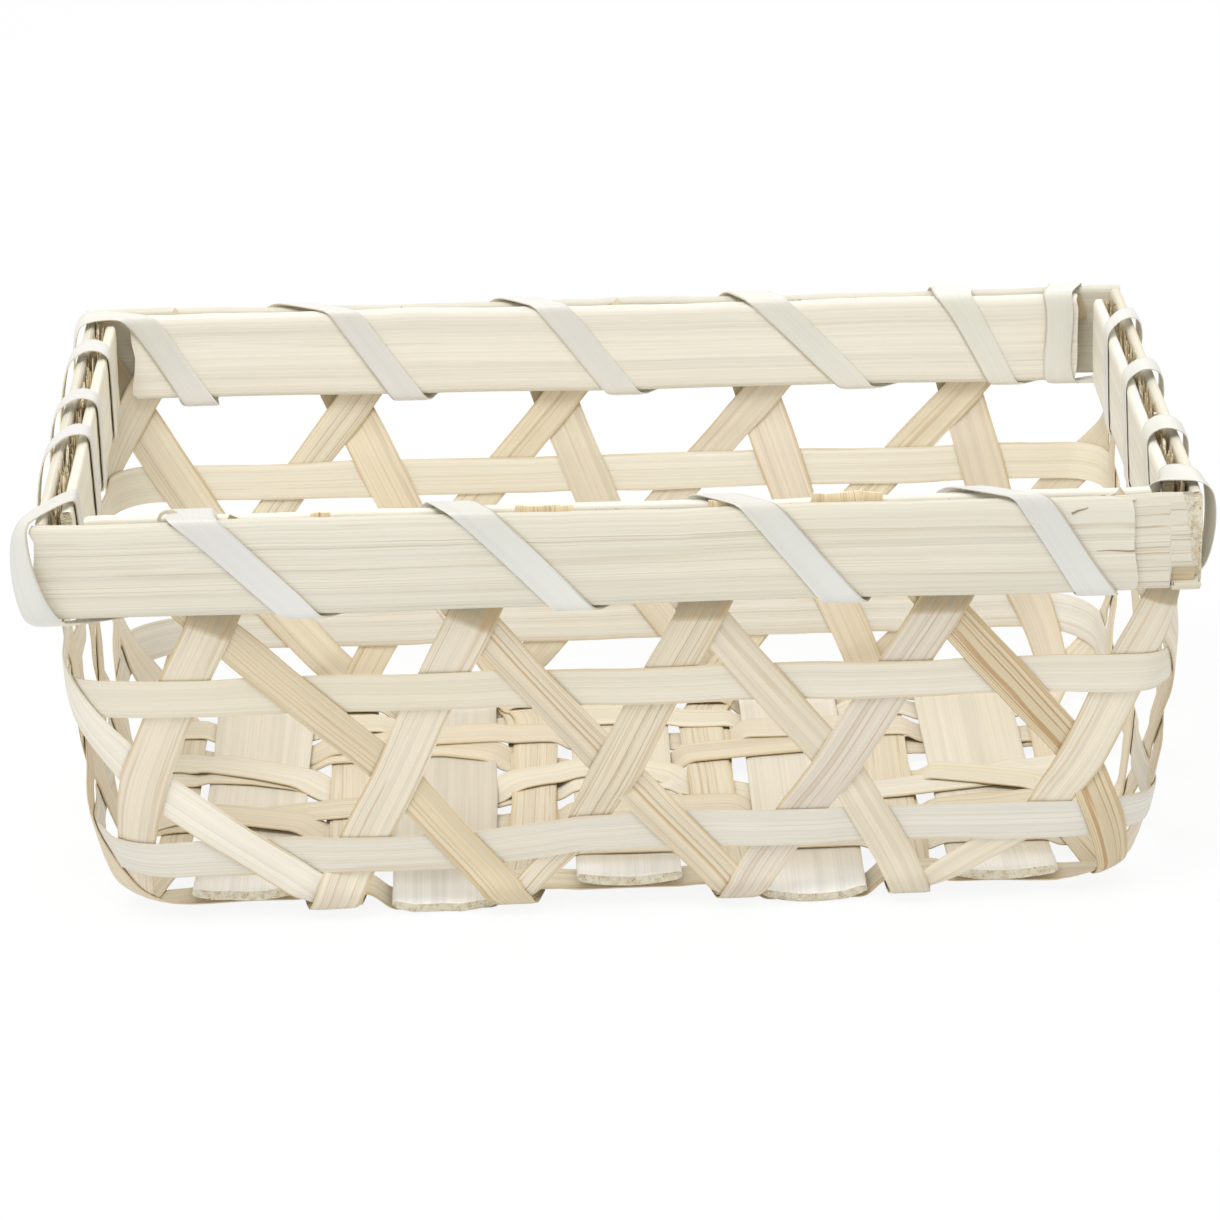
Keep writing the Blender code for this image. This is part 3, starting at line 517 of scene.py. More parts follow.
def layering(along, centres, stations):
    """Offset from the skin along a strip, level at each crossing and easing softly in between."""
    offset = np.full_like(along, stations[0][3])
    for index in range(len(stations) - 1):
        start = centres[index] + stations[index][4]
        stop = centres[index + 1] - stations[index + 1][4]
        if stop - start < TURN:
            middle = (start + stop) / 2
            start, stop = middle - TURN / 2, middle + TURN / 2
        low, high = stations[index][3], stations[index + 1][3]
        offset = np.where(along >= centres[index], low + (high - low) * eased(along, start, stop), offset)
    return offset


def wander(along, seed, pace, size):
    """A smooth wavering along a strip, the same on every run."""
    roll = dice(seed)
    total = np.zeros_like(along)
    for octave in range(3):
        total += np.sin(along / pace * (octave + 1) + roll.uniform(0, 2 * math.pi)) / (octave + 1)
    return total * size / 1.8


def across_rows(points, normals, width, level_rows, seed, along):
    """Rails of a ribbon on both sides of its middle line, with slightly wavering edges."""
    side = unit_rows(np.cross(np.gradient(points, axis=0), normals))
    if level_rows:
        level = np.cross(normals, (0.0, 0.0, 1.0))
        steep = np.linalg.norm(level, axis=1) > UPRIGHT_SINE
        level[steep] = unit_rows(level[steep])
        level[~steep] = side[~steep]
        facing = np.sum(level * side, axis=1)
        side = level / facing[:, None]
    left = width / 2 + wander(along, seed, *LEFT_WAVE)
    right = width / 2 + wander(along, seed + 1, *RIGHT_WAVE)
    return [points + side * ((left if share < 0 else right) * 2 * share)[:, None]
            for share in np.linspace(-0.5, 0.5, RAILS)]


def thin_out(rows, sag):
    """Leave out the rows that stray less than sag from the line between their neighbours."""
    flat = rows.reshape(len(rows), -1)
    keep = {0, len(rows) - 1}
    stack = [(0, len(rows) - 1)]
    while stack:
        low, high = stack.pop()
        if high - low < 2:
            continue
        span = flat[high] - flat[low]
        share = ((flat[low + 1:high] - flat[low]) @ span) / (span @ span)
        miss = flat[low + 1:high] - flat[low] - share[:, None] * span
        worst = np.linalg.norm(miss.reshape(len(miss), -1, 3), axis=2).max(axis=1)
        split = low + 1 + int(worst.argmax())
        if worst.max() > sag:
            keep.add(split)
            stack += [(low, split), (split, high)]
    return sorted(keep)


def strip_rows(stations, widths, rounds, seed, level_rows=False, drops=False):
    """Rows of points across a strip that follows the skin over and under its crossings."""
    points, marks = follow(stations, rounds)
    along = distance_along(points)
    offset = layering(along, [along[mark] for mark in marks], stations)
    if drops:
        offset = offset + fold_drop(points)
    offset = smooth(offset, LAYER_ROUNDS)
    normals = unit_rows(slope(points))
    lifted = settle(points + normals * offset[:, None], offset)
    width = np.interp(along, [along[mark] for mark in marks], widths)
    rails = across_rows(lifted, normals, width, level_rows, seed, along)
    curl = wander(along, seed + 2, *CURL_WAVE)
    rows = np.stack([settle(rail, offset + curl * (2 * number / (RAILS - 1) - 1))
                     for number, rail in enumerate(rails)], axis=1)
    # rows kept where the painted shadow of the rim is full and where it is gone
    edges = [along[marks[1]] + SHADE_FULL, along[marks[1]] + SHADE_START,
             along[marks[-2]] - SHADE_START, along[marks[-2]] - SHADE_FULL]
    keep = sorted(set(thin_out(rows, SAG)) | {int(index) for index in np.searchsorted(along[:-1], edges)})
    return rows[keep], along[keep], width[keep], along[marks]


# the wall ends of the long strips; way is 1 where they rise to the right and -1 where they rise to the left

def flat_reach(own, other, angle):
    """Half length a strip stays level where another of the given width crosses it."""
    return (other / math.sin(angle) + own / abs(math.tan(angle))) / 2 + FLAT_MARGIN


def fold_unit(fold):
    """Where on the walls the two strips of a fold cross, set by the pairs of the base."""
    half_x, _, corner = wall_sizes(np.array(FOLD_HEIGHT))
    reach = half_x - corner + math.pi / 4 * corner
    if CORNERS[0] < fold < CORNERS[1]:
        return SIDE_UNITS[0] / 2 * (1 + FOLDS_X[fold - 1] / reach)
    if CORNERS[2] < fold < CORNERS[3]:
        return CORNERS[2] + SIDE_UNITS[2] / 2 * (1 - FOLDS_X[CORNERS[3] - 1 - fold] / reach)
    return fold


def fold_drop(points):
    """The folds along the front and the back hang a little below the base."""
    low = np.clip((DROP_TOP - points[:, 2]) / (DROP_TOP - BASE_MID), 0.0, 1.0)
    out = np.clip((np.abs(points[:, 1]) - DROP_START) / (DROP_END - DROP_START), 0.0, 1.0)
    return FOLD_DROP * low * out


def end_units(fold, way):
    """Units of a wall end at its fold, its middle crossing and its top crossing."""
    middle = (fold if way > 0 else fold - 1) % UNITS
    middle_unit = fold + way / 2 + MIDDLE_SHIFT_SHARES[middle]
    top_unit = fold + way + TOP_SHIFT_SHARES[(fold + way) % UNITS]
    fold_at = fold_unit(fold)
    if (fold, way) == WIDE_END:
        fold_at += WIDE_FOLD_SHIFT * SIDE_UNITS[0] / LENGTH
    return fold_at, middle_unit, top_unit


def slants(fold, way):
    """Angles from upright below and above the middle crossing of a wall end."""
    fold_at, middle, top = end_units(fold % UNITS, way)
    low = math.atan2(abs(middle - fold_at) * UNIT_LONG, MIDDLE_CROSSING - FOLD_HEIGHT)
    high = math.atan2(abs(top - middle) * UNIT_LONG, TOP_CROSSING - MIDDLE_CROSSING)
    return low, high


def end_reaches(fold, way):
    """How far a wall end stays level at the fold, both weavers and the crossings between them."""
    low_own, own = WALL_WIDE[way]
    other = WALL_WIDE[-way][1]
    low, high = slants(fold, way)
    low_next, high_next = slants(fold + way, -way)
    top_next = slants(fold + 2 * way, -way)[1]
    at_fold = CORNER_REACH if fold in CORNERS else FOLD_REACH
    crossings = (
        (low_own, LOWER_WIDE, math.pi / 2 - low),
        (own, other, (low + high + low_next + high_next) / 2),
        (own, UPPER_WIDE, math.pi / 2 - high),
        (own, other, high + top_next),
    )
    return [WIDE_FOLD_REACH if fold == WIDE_END[0] else at_fold] + [
        flat_reach(*crossing) * LEVEL_SHARE for crossing in crossings]


def hill(value, foot, start, stop, end):
    """Rises from zero to one between foot and start, and falls back between stop and end."""
    return eased(value, foot, start) - eased(value, stop, end)


def lower_height(unit):
    """Height of the lower weaver at a place on the walls."""
    unit = (unit + DIP_SEAM) % UNITS - DIP_SEAM
    return LOWER_WEAVER - LOWER_DIP * hill(unit, *DIP_UNITS) + LOWER_LIFT * hill(unit, *LIFT_UNITS)


def wall_end(fold, way):
    """Stations of a wall end from its fold up to the rim."""
    fold_at, middle_unit, top_unit = end_units(fold, way)
    low = lower_height(fold_at + way * LOWER_AHEAD)
    low_share = (low - FOLD_HEIGHT) / (MIDDLE_CROSSING - FOLD_HEIGHT)
    high_share = (UPPER_WEAVER - MIDDLE_CROSSING) / (TOP_CROSSING - MIDDLE_CROSSING)
    tip = STAKE_TOP + STAKE_RAGGED * RAGGED_SHARES[(fold * 5 + way) % UNITS]
    tip_share = (tip - TOP_CROSSING) / (TOP_CROSSING - MIDDLE_CROSSING)
    low_unit = fold_at + low_share * (middle_unit - fold_at)
    rise = (top_unit - middle_unit) / (TOP_CROSSING - MIDDLE_CROSSING)
    ahead = middle_unit - rise * (MIDDLE_CROSSING - low)
    low_unit += STRAIGHTEN.get((fold, way), 0.0) * (ahead - low_unit)
    high_unit = middle_unit + high_share * (top_unit - middle_unit)
    tip_unit = top_unit + tip_share * (top_unit - middle_unit) * TIP_LEAN
    fold_way = -way if fold in SWAPPED_FOLDS else way
    reaches = end_reaches(fold, way)
    places = (
        (fold_at, FOLD_HEIGHT, -fold_way), (low_unit, low, -way), (middle_unit, MIDDLE_CROSSING, way),
        (high_unit, UPPER_WEAVER, -way), (top_unit, TOP_CROSSING, way), (tip_unit, tip, way),
    )
    return [("wall", unit, z, side * LAYER, reach)
            for (unit, z, side), reach in zip(places, reaches + reaches[-1:])]


def wall_widths(fold, way):
    """Widths of a wall end at its six stations."""
    low, own = WALL_WIDE[way]
    at_fold = FOLD_WIDE
    if fold in SLIM_FOLDS and way > 0:
        at_fold, low = FOLD_WIDE * SLIM_FOLD_SHARE, LOW_SLASH_WIDE * SLIM_LOW_SHARE
    if (fold, way) == WIDE_END:
        at_fold = low = WIDE_FOLD
    return [at_fold, low] + [own] * 4


# levels of the base weave, positive downwards

def slat_drop(column, y):
    """How far a slat lies below its middle level at a place along it."""
    bend = eased(np.abs(y), BEND_START, BEND_END)
    if column in DIPPED_SLATS:
        return bend * SLAT_EASE + eased(np.abs(y), TIP_START, SLAT_END) * SLAT_TIP
    return -bend * SLAT_RISE * (1.0 if column == MIDDLE_SLAT else OUTER_RISE_SHARE)


def slat_thickness(y):
    """Slats are split thinner between the rows than at their ends."""
    return SLAT_INSIDE + (SLAT_THICK - SLAT_INSIDE) * eased(np.abs(y), CAMBER_START, BEND_END)


def row_places(row, column):
    return [places[column] * MM for places, _ in BASE_ROWS[row]]


def levels(row, column):
    """Level of a column where it meets a row, and the levels of the strips of that row."""
    kind = COLUMNS[column][0]
    ways = [-1 if column in over else 1 for _, over in BASE_ROWS[row]]
    paired = len(ways) == 2 and ways[0] == ways[1]
    half = PAIR_HALF if paired else STRIP / 2
    if kind == "slat":
        inner = min(abs(place_at) for place_at in row_places(row, column)) - BASE_WIDE / 2
        own = slat_drop(column, inner)
        apart = slat_thickness(inner) / 2 + ROW_ROOM + half
    else:
        apart = half + ROW_ROOM + (PAIR_HALF if kind == "pair" else STRIP / 2)
        own = -sum(ways) / len(ways) * apart / 2
    if column in DIPPED_SLATS and row in EDGE_ROWS:
        return own, [BASE_MID - EDGE_ROW_LEVEL]
    shift = PAIR_LAYER if paired else 0.0
    return own, [own + way * apart + side * shift for way, side in zip(ways, (-1, 1))]


def row_stations(row, number):
    """Stations of one strip of a row through the base from left to right."""
    stations = []
    for column, (kind, x) in enumerate(COLUMNS):
        if row in EDGE_ROWS and kind == "edge":
            continue
        y = row_places(row, column)[number]
        reach = COLUMN_WIDE[kind] / 2 * ROW_LEVEL_SHARE
        stations.append(("base", x, y, levels(row, column)[1][number], reach))
    return stations


def column_stations(column, shift=0.0, spread=0.0):
    """Stations of a column through the base from front to back."""
    kind, middle = COLUMNS[column]
    stations = []
    for row in range(len(BASE_ROWS)):
        if row in EDGE_ROWS and kind == "edge":
            continue
        spots = row_places(row, column)
        y = sum(spots) / len(spots)
        x = middle + spread * y / ROW_EDGE
        if row in EDGE_ROWS and kind == "pair":
            x = (middle + 2 * FOLDS_X[column // 2 - 1]) / 3
        reach = (max(spots) - min(spots)) / 2 + BASE_WIDE / 2 * LEVEL_SHARE
        stations.append(("base", x, y, levels(row, column)[0] + shift, reach))
    return stations


# meshes of flat pieces

def link(name, data):
    """A new object, put into the scene."""
    made = bpy.data.objects.new(name, data)
    bpy.context.scene.collection.objects.link(made)
    return made


def store(mesh, label, values, kind="FLOAT_VECTOR"):
    """Keeps a number or a vector with every point of a mesh, for its material."""
    field = "value" if kind == "FLOAT" else "vector"
    layer = mesh.attributes.new(label, kind, "POINT")
    layer.data.foreach_set(field, np.asarray(values, dtype=np.float32).ravel())


def fibre_mesh(name, points, faces, fibre, tone):
    """A mesh whose points know their place across and along the fibres, and their tone."""
    mesh = bpy.data.meshes.new(name)
    mesh.from_pydata(points, [], faces)
    store(mesh, "fibre", fibre)
    store(mesh, "tone", tone)
    return mesh


def ribbon(name, rows, along, width, thick, seed, slot, node, profile=PROFILE, tone=PLAIN, bevel=None):
    """A flat strip laid through rows of points; its profile is the share of the thickness at every rail."""
    count, rails = rows.shape[:2]
    normal = unit_rows(np.cross(np.gradient(rows, axis=0), np.gradient(rows, axis=1)))
    thick = np.broadcast_to(np.asarray(thick, dtype=float), (count,))
    halves = np.outer(thick / 2, profile)[:, :, None]
    raised = rows + normal * halves
    sunk = rows - normal * halves
    if bevel is not None:
        raised += bevel_shift(rows, along, bevel)
    ring = np.concatenate([raised, sunk[:, ::-1]], axis=1)
    shares = np.linspace(-0.5, 0.5, rails)
    across = np.outer(width, shares)
    across = np.concatenate([across, across[:, ::-1] + 0.002], axis=1)
    lengthwise = np.repeat(along[:, None], 2 * rails, axis=1)
    tone = np.broadcast_to(np.asarray(tone, dtype=float), (count, 3))
    piece = ring_mesh(name, ring, across, lengthwise, seed, slot, node, tone)
    sides = np.concatenate([shares, shares[::-1]]) * 2
    store(piece.data, "side", np.tile(sides, count), "FLOAT")
    return piece


def bevel_shift(rows, along, bevel):
    """Draws one face back towards the far end, so that the near end is cut at an angle."""
    back = unit_rows(rows[-3] - rows[-1])
    share = np.clip(1 - (along[-1] - along) / (2 * bevel.max()), 0.0, 1.0)
    return share[:, None, None] * bevel[None, :, None] * back[None]


def ring_mesh(name, ring, across, lengthwise, seed, slot, node, tone):
    """A closed strip through rings of points, with its materials, its body and the node that it replaces."""
    count, around = ring.shape[:2]
    turn = [(k, k + around, (k + 1) % around + around, (k + 1) % around) for k in range(around)]
    faces = [tuple(row * around + k for k in face) for row in range(count - 1) for face in turn]
    half = around // 2
    kinds = [INSIDE if slot == "lashing_bamboo" and k >= half
             else SIDE if k in (half - 1, around - 1) else FACE for k in range(around)] * (count - 1)
    for low, turned in ((0, False), ((count - 1) * around, True)):
        for k in range(half - 1):
            face = (low + k, low + k + 1, low + around - 2 - k, low + around - 1 - k)
            faces.append(face[::-1] if turned else face)
    shift = np.full(count * around, seed * FIBRE_SHIFT)
    fibre = np.stack([across.ravel(), lengthwise.ravel(), shift], axis=1)
    mesh = fibre_mesh(name, ring.reshape(-1, 3).tolist(), faces, fibre, np.repeat(tone, around, axis=0))
    sides = slot if slot in ("rim_bamboo", "slat_bamboo") else "edge"
    inside = ["lashing_inside"] if slot == "lashing_bamboo" else []
    for look in [slot, "cut", sides] + inside:
        mesh.materials.append(looks[look])
    mesh.polygons.foreach_set("material_index", kinds + [CUT] * (len(faces) - len(kinds)))
    mesh.shade_smooth()
    mesh.set_sharp_from_angle(angle=SHARP)
    piece = link(name, mesh)
    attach(piece, "root")
    if node:
        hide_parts(node)
    return piece


def tear(rows, seed, size):
    """Push the rails of both ends in and out, so that the strip ends look torn."""
    rows = rows.copy()
    roll = dice(seed)
    rails = rows.shape[1]
    for end, beside in ((0, 2), (-1, -3)):
        out = unit_rows(rows[end] - rows[beside])
        jags = np.repeat(roll.uniform(-1, 1, rails // 2 + 1), 2)[:rails] + roll.uniform(-0.4, 0.4, rails)
        rows[end] = rows[end] + out * (jags * size)[:, None]
    return rows


# long strips and weavers

def end_tone(fold, way):
    """Tone of a wall end: as in the photograph along the front, and its own elsewhere."""
    roll = dice(900 + 2 * fold + way)
    own = tuple(roll.uniform(low, high) for low, high in OTHER_TONES)
    return FRONT_SHARES.get((fold, way), own)


def long_strip(name, first, middle, second, seed, base_wide=BASE_WIDE):
    """A strip that goes down one wall end, through the base and up another; both given by fold and way."""
    down = wall_end(*first)[::-1]
    up = wall_end(*second)
    widths = wall_widths(*first)[::-1] + [base_wide] * len(middle) + wall_widths(*second)
    drops = CORNERS[0] < first[0] < CORNERS[1]
    rows, along, width, places = strip_rows(down + middle + up, widths, STRIP_ROUNDS, seed,
                                            first[0] in LEVEL_FOLDS, drops)
    rows = tear(rows, seed, TEAR)
    tones = [end_tone(*first)] * len(down) + [BASE_TONE] * len(middle) + [end_tone(*second)] * len(up)
    # painted shadow of the rim on the ends that pass outside under it
    places, tones = paint_rim_shadow(places, tones, first[1] > 0, second[1] > 0)
    tone = np.stack([np.interp(along, places, channel) for channel in np.array(tones).T], axis=1)
    ribbon(name + "_weave", rows, along, width, STRIP, seed, "strip_bamboo", name, tone=tone)


def paint_rim_shadow(places, tones, first, second):
    """Painted shadow of the rim: browner just under it, on the ends that pass outside there."""
    places, tones = list(places), list(tones)
    if first:
        tones[0] = painted_rim_shadow(tones[0])
        places[1:2] = [places[1] + SHADE_FULL, places[1] + SHADE_START]
        tones[1:1] = [tones[0]]
    if second:
        tones[-1] = painted_rim_shadow(tones[-1])
        places[-2:-1] = [places[-2] - SHADE_START, places[-2] - SHADE_FULL]
        tones[-1:-1] = [tones[-1]]
    return places, tones


# a tone darkened and browned as painted shadow of the rim
def painted_rim_shadow(tone):
    light, warm, strong = RIM_PAINTED_SHADOW
    return tone[0] * light, tone[1] + warm, tone[2] + strong


def add_columns():
    long_strip("strip_column_left", (0, 1), column_stations(0), (13, -1), 11, EDGE_WIDE)
    for fold in range(1, len(PAIRS_X) + 1):
        swap = -1 if fold in SWAPPED_FOLDS else 1
        for letter, way, seed in (("a", 1, 16), ("b", -1, 18)):
            middle = column_stations(2 * fold, -way * PAIR_LAYER * swap, way * COLUMN_SPREAD)
            if (fold, way) == WIDE_END:
                space, x, y, offset, reach = middle[0]
                middle[0] = (space, x + WIDE_FOLD_LEAN, y, offset, reach)
            long_strip(f"strip_column_{fold}{letter}", (fold, way), middle, (CORNERS[3] - fold, way),
                       seed + 4 * fold, PAIR_WIDE)
    long_strip("strip_column_right", (5, -1), column_stations(10), (8, 1), 15, EDGE_WIDE)


def add_rows():
    long_strip("strip_row_front", (0, -1), row_stations(0, 0), (5, 1), 51)
    for number, row, left, right in (("1", 2, 15, 6), ("2", 4, 14, 7)):
        for strand, (letter, way) in enumerate((("a", 1), ("b", -1))):
            long_strip(f"strip_row_{number}{letter}", (left, way), row_stations(row, strand), (right, way),
                       60 + 10 * strand + row)
    long_strip("strip_row_back", (13, 1), row_stations(6, 0), (8, -1), 55)


def add_base_weavers():
    runs = (("front", 1, 0, 80), ("middle", 3, 0, 83), ("middle_second", 3, 1, 87), ("back", 5, 0, 85))
    for name, row, number, seed in runs:
        stations = row_stations(row, number)
        first, last = [("base", x, end[2], end[3], 0.0)
                       for x, end in ((-FILLER_END, stations[0]), (FILLER_END, stations[-1]))]
        stations = [first] + stations + [last]
        rows, along, width, _ = strip_rows(stations, [BASE_WIDE] * len(stations), BASE_ROUNDS, seed)
        rows = tear(rows, seed, TEAR)
        ribbon(f"base_weaver_{name}_weave", rows, along, width, STRIP, seed, "weaver_bamboo",
               "base_weaver_" + name.split("_")[0], tone=BASE_WEAVER_TONE)


def weaver_crossings(level, wide):
    """Crossings of the lower (0) or upper (1) wall weaver, over right-rising strips and under the others."""
    station = 1 + 2 * level
    crossings = []
    for fold in range(UNITS):
        for way in (1, -1):
            unit, height = wall_end(fold, way)[station][1:3]
            angle = math.pi / 2 - slants(fold, way)[level]
            reach = flat_reach(wide, wall_widths(fold, way)[station], angle) * LEVEL_SHARE
            crossings.append((unit % UNITS, way * LAYER, reach, height))
    return sorted(crossings)


def add_wall_weaver(name, level, wide, seed, own):
    """A weaver round the walls, whose two ends meet under a strip."""
    crossings = weaver_crossings(level, wide)
    hidden = max(index for index, crossing in enumerate(crossings) if crossing[1] < 0)
    order = crossings[hidden + 1:] + crossings[:hidden]
    centre, _, reach, end_height = crossings[hidden]
    gap = END_GAP / (2 * LENGTH / SIDE_UNITS[0])
    stations = [("wall", centre - UNITS + gap, end_height, -LAYER, reach)]
    for unit, layer, level_reach, height in order:
        stations.append(("wall", unit - UNITS if unit > centre else unit, height, layer, level_reach))
    stations.append(("wall", centre - gap, end_height, -LAYER, reach))
    rows, along, width, _ = strip_rows(stations, [wide] * len(stations), WEAVER_ROUNDS, seed)
    back = np.clip(rows[:, 0, 1] / HALF_Y, 0.0, 1.0)
    tone = np.array(own) + np.outer(back, BACK_TONE)
    ribbon(name + "_weave", rows, along, width, STRIP, seed, "weaver_bamboo", name, tone=tone)


# slats of the base

def slat_tone(y, inside):
    """Painted light: paler towards the ends, which stand in the light."""
    out = eased(np.abs(y), CAMBER_START - EDGE, SLAT_END)
    warm, strong = SLAT_TONE_INSIDE
    painted_light_end, painted_pale_end = SLAT_ENDS_PAINTED_LIGHT
    return np.stack([inside + (painted_light_end - inside) * out, warm + (painted_pale_end - warm) * out,
                     np.full_like(y, strong)], axis=1)


def add_base_slats():
    shares = np.array([-0.5, -0.485, -0.44, -0.3, -0.15, 0.0, 0.15, 0.3, 0.44, 0.485, 0.5])
    profile = np.array([0.30, 0.62, 0.9, 1, 1, 1, 1, 1, 0.9, 0.62, 0.30])
    for index, x in enumerate(SLATS_X):
        y = np.linspace(-SLAT_END, SLAT_END, 90)
        px = x + np.outer(SLAT_SHOWN + wander(y, 300 + index, *SLAT_WAVE), shares)
        level = BASE_MID - slat_drop(2 * index + 1, y) + wander(y, 310 + index, *SLAT_SWAY)
        camber = SLAT_CAMBER + END_CAMBER * eased(np.abs(y), CAMBER_START, SLAT_END)
        pz = level[:, None] + np.outer(camber, (2 * shares) ** 2)
        rows = np.stack([px, np.repeat(y[:, None], len(shares), axis=1), pz], axis=2)
        rows = tear(rows, 320 + index, SLAT_TEAR)
        ribbon(f"base_slat_{index + 1}_split", rows, y + SLAT_END, np.full(len(y), SLAT_SHOWN),
               slat_thickness(y), 330 + index, "slat_bamboo", f"base_slat_{index + 1}", profile,
               slat_tone(y, SLAT_LIGHTNESS[index]))


# rim

def rim_slat(name, start, stop, seed, node, tone=PLAIN, trim=NO_TRIM, bevel=None, notch=0.0,
             heights=(RIM_LOW, RIM_TOP), pace=SLAT_PACE, ragged=RAGGED):
    """An upright slat between two points in plan, with hand cut edges."""
    start, stop = np.array(start), np.array(stop)
    span = np.linalg.norm(stop - start)
    ahead = (stop - start) / span
    out = np.array([ahead[1], -ahead[0]])
    count = max(8, int(span / pace))
    along = np.linspace(0.0, span, count)
    shares = np.array([0.0, 0.016, 0.05, 0.15, 0.32, 0.5, 0.68, 0.85, 0.95, 0.984, 1.0])
    profile = np.array([0.55, 0.85, 1, 1, 1, 1, 1, 1, 1, 0.85, 0.5])
    top = heights[1] + wander(along, seed, *RIM_WAVE) + wander(along, seed + 1, *RIM_ROUGH)
    top = top + trim[0] * np.linspace(0, 1, count) ** 2
    low = heights[0] + wander(along, seed + 2, *RIM_LOW_WAVE)
    low = low + trim[1] * np.linspace(0, 1, count)
    low = low + np.where(span - along < NOTCH_LONG, notch, 0.0)
    z = low[:, None] + np.outer(top - low, shares)
    plan = start[None] + np.outer(along, ahead) + np.outer(wander(along, seed + 3, *RIM_BOW), out)
    ridges = dice(seed + 4).uniform(-1, 1, len(shares)) * RIDGE
    plan = plan[:, None, :] + out[None, None, :] * ridges[None, :, None]
    rows = tear(np.concatenate([plan, z[:, :, None]], axis=2), seed + 5, ragged)
    ribbon(name, rows, along, np.full(count, RIM_BAND), RIM_SLAT, seed, "rim_bamboo", node, profile, tone,
           bevel)


def add_rim():
    half = RIM_SLAT / 2
    x_far, y_far = LENGTH / 2, DEPTH / 2
    x_out, y_out = x_far - half, y_far - half
    splice = x_far - SPLICE_LONG
    recessed = -y_far + half + SPLICE_RECESS
    x_stop = x_far - END_GAP
    rim_slat("rim_outer_front_split", (-x_far, -y_far + half), (splice - END_GAP, -y_far + half), 401,
             "rim_outer_front", OUTER_TONE, ragged=RAGGED_FRONT)
    bevel = np.linspace(0.4, 1.4, 11) * SPLICE_BEVEL
    rim_slat("rim_outer_front_splice_split", (splice - SPLICE_UNDER, recessed), (x_stop, recessed), 411,
             "rim_outer_front_splice", SPLICE_TONE, bevel=bevel, notch=NOTCH, pace=BLOCK_PACE)
    rim_slat("rim_splice_block", (x_far - NOTCH_LONG, recessed), (x_stop, recessed), 415, None, BLOCK_TONE,
             heights=(RIM_LOW, RIM_LOW + BLOCK), pace=BLOCK_PACE)
    rim_slat("rim_splice_hollow", (x_far - 2 * NOTCH_LONG, recessed + half),
             (x_far - 2 * END_GAP, recessed + half), 417, None, HOLLOW_TONE,
             heights=(RIM_LOW + BLOCK / 2, RIM_LOW + 2 * NOTCH), pace=HOLLOW_PACE)
    between = y_far - RIM_SLAT - END_GAP
    x_in = x_far - RIM_SLAT - STAKE_ROOM - half
    y_in = y_far - RIM_SLAT - STAKE_ROOM - half
    x_end = x_in - half - INNER_SHORT
    y_end = y_in - half - INNER_SHORT
    for place, start, stop, seed, tone, trim in (
        ("outer_back", (x_far, y_out), (-x_far, y_out), 421, OUTER_TONE, BACK_TRIM),
        ("outer_right", (x_out, -between), (x_out, between), 431, PLAIN, NO_TRIM),
        ("outer_left", (-x_out, between), (-x_out, -between), 441, PLAIN, NO_TRIM),
        ("inner_front", (-x_end, -y_in), (x_end, -y_in), 451, INNER_TONE, NO_TRIM),
        ("inner_back", (x_end, y_in), (-x_end, y_in), 461, INNER_TONE, INNER_BACK_TRIM),
        ("inner_right", (x_in, -y_end), (x_in, y_end), 471, INNER_TONE, NO_TRIM),
        ("inner_left", (-x_in, y_end), (-x_in, -y_end), 481, INNER_LEFT_TONE, NO_TRIM),
    ):
        rim_slat(f"rim_{place}_split", start, stop, seed, "rim_" + place, tone, trim)


# slivers between the slats of the rim; a line is its points, width, thickness and the way that it faces

def slivers(name, lines, seed, look="edge", point=0.35, shares=SLIVER_TONE):
    """Many thin slivers in one mesh, narrower at the top."""
    vertices, faces, fibre, tone = [], [], [], []
    for number, (points, width, thick, facing) in enumerate(lines):
        count = len(points)
        taper = np.linspace(1.0, point, count)[:, None]
        side = unit_rows(np.cross(np.gradient(points, axis=0), facing))
        corners = [points + (a * side * width / 2 + b * facing * thick / 2) * taper
                   for a, b in ((1, 1), (-1, 1), (-1, -1), (1, -1))]
        first = len(vertices)
        vertices += np.stack(corners, axis=1).reshape(-1, 3).tolist()
        fibre += [(width * (corner in (0, 3)), row * MM, seed + number * FIBRE_SHIFT)
                  for row in range(count) for corner in range(4)]
        tone += [(shares[0] * (1 + 0.2 * ((number * 7) % 5) / 5), *shares[1:])] * (4 * count)
        for low in range(first, first + 4 * count - 4, 4):
            faces += [(low + k, low + (k + 1) % 4, low + 4 + (k + 1) % 4, low + 4 + k) for k in range(4)]
        faces.append((first + 3, first + 2, first + 1, first))
        faces.append(tuple(first + 4 * count - 4 + k for k in range(4)))
    mesh = fibre_mesh(name, vertices, faces, fibre, tone)
    mesh.materials.append(looks[look])
    piece = link(name, mesh)
    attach(piece, "root")
    return piece


def upright_slivers(start, stop, count, seed, highest):
    """Torn fibre ends standing in the gap between two slats of the rim."""
    roll = dice(seed)
    start, stop = np.array(start), np.array(stop)
    ahead = (stop - start) / np.linalg.norm(stop - start)
    out = np.array([ahead[1], -ahead[0], 0.0])
    lines = []
    for _ in range(count):
        foot = start + roll.uniform(0, 1) * (stop - start) + out * roll.uniform(-0.8, 0.8) * STAKE_ROOM / 2
        top = RIM_TOP + roll.uniform(-0.0022, highest)
        z = np.linspace(RIM_TOP - SLIVER_LONG, top, 4)
        curve = np.linspace(0, 1, 4) ** 2
        bend = roll.uniform(-0.0008, 0.0008) * curve
        sway = roll.uniform(-0.0004, 0.0004) * curve
        points = foot + np.outer(bend, ahead) + np.outer(sway, out)
        points[:, 2] = z
        lines.append((points, roll.uniform(0.0005, 0.0024), roll.uniform(0.0002, 0.0005), out))
    return lines


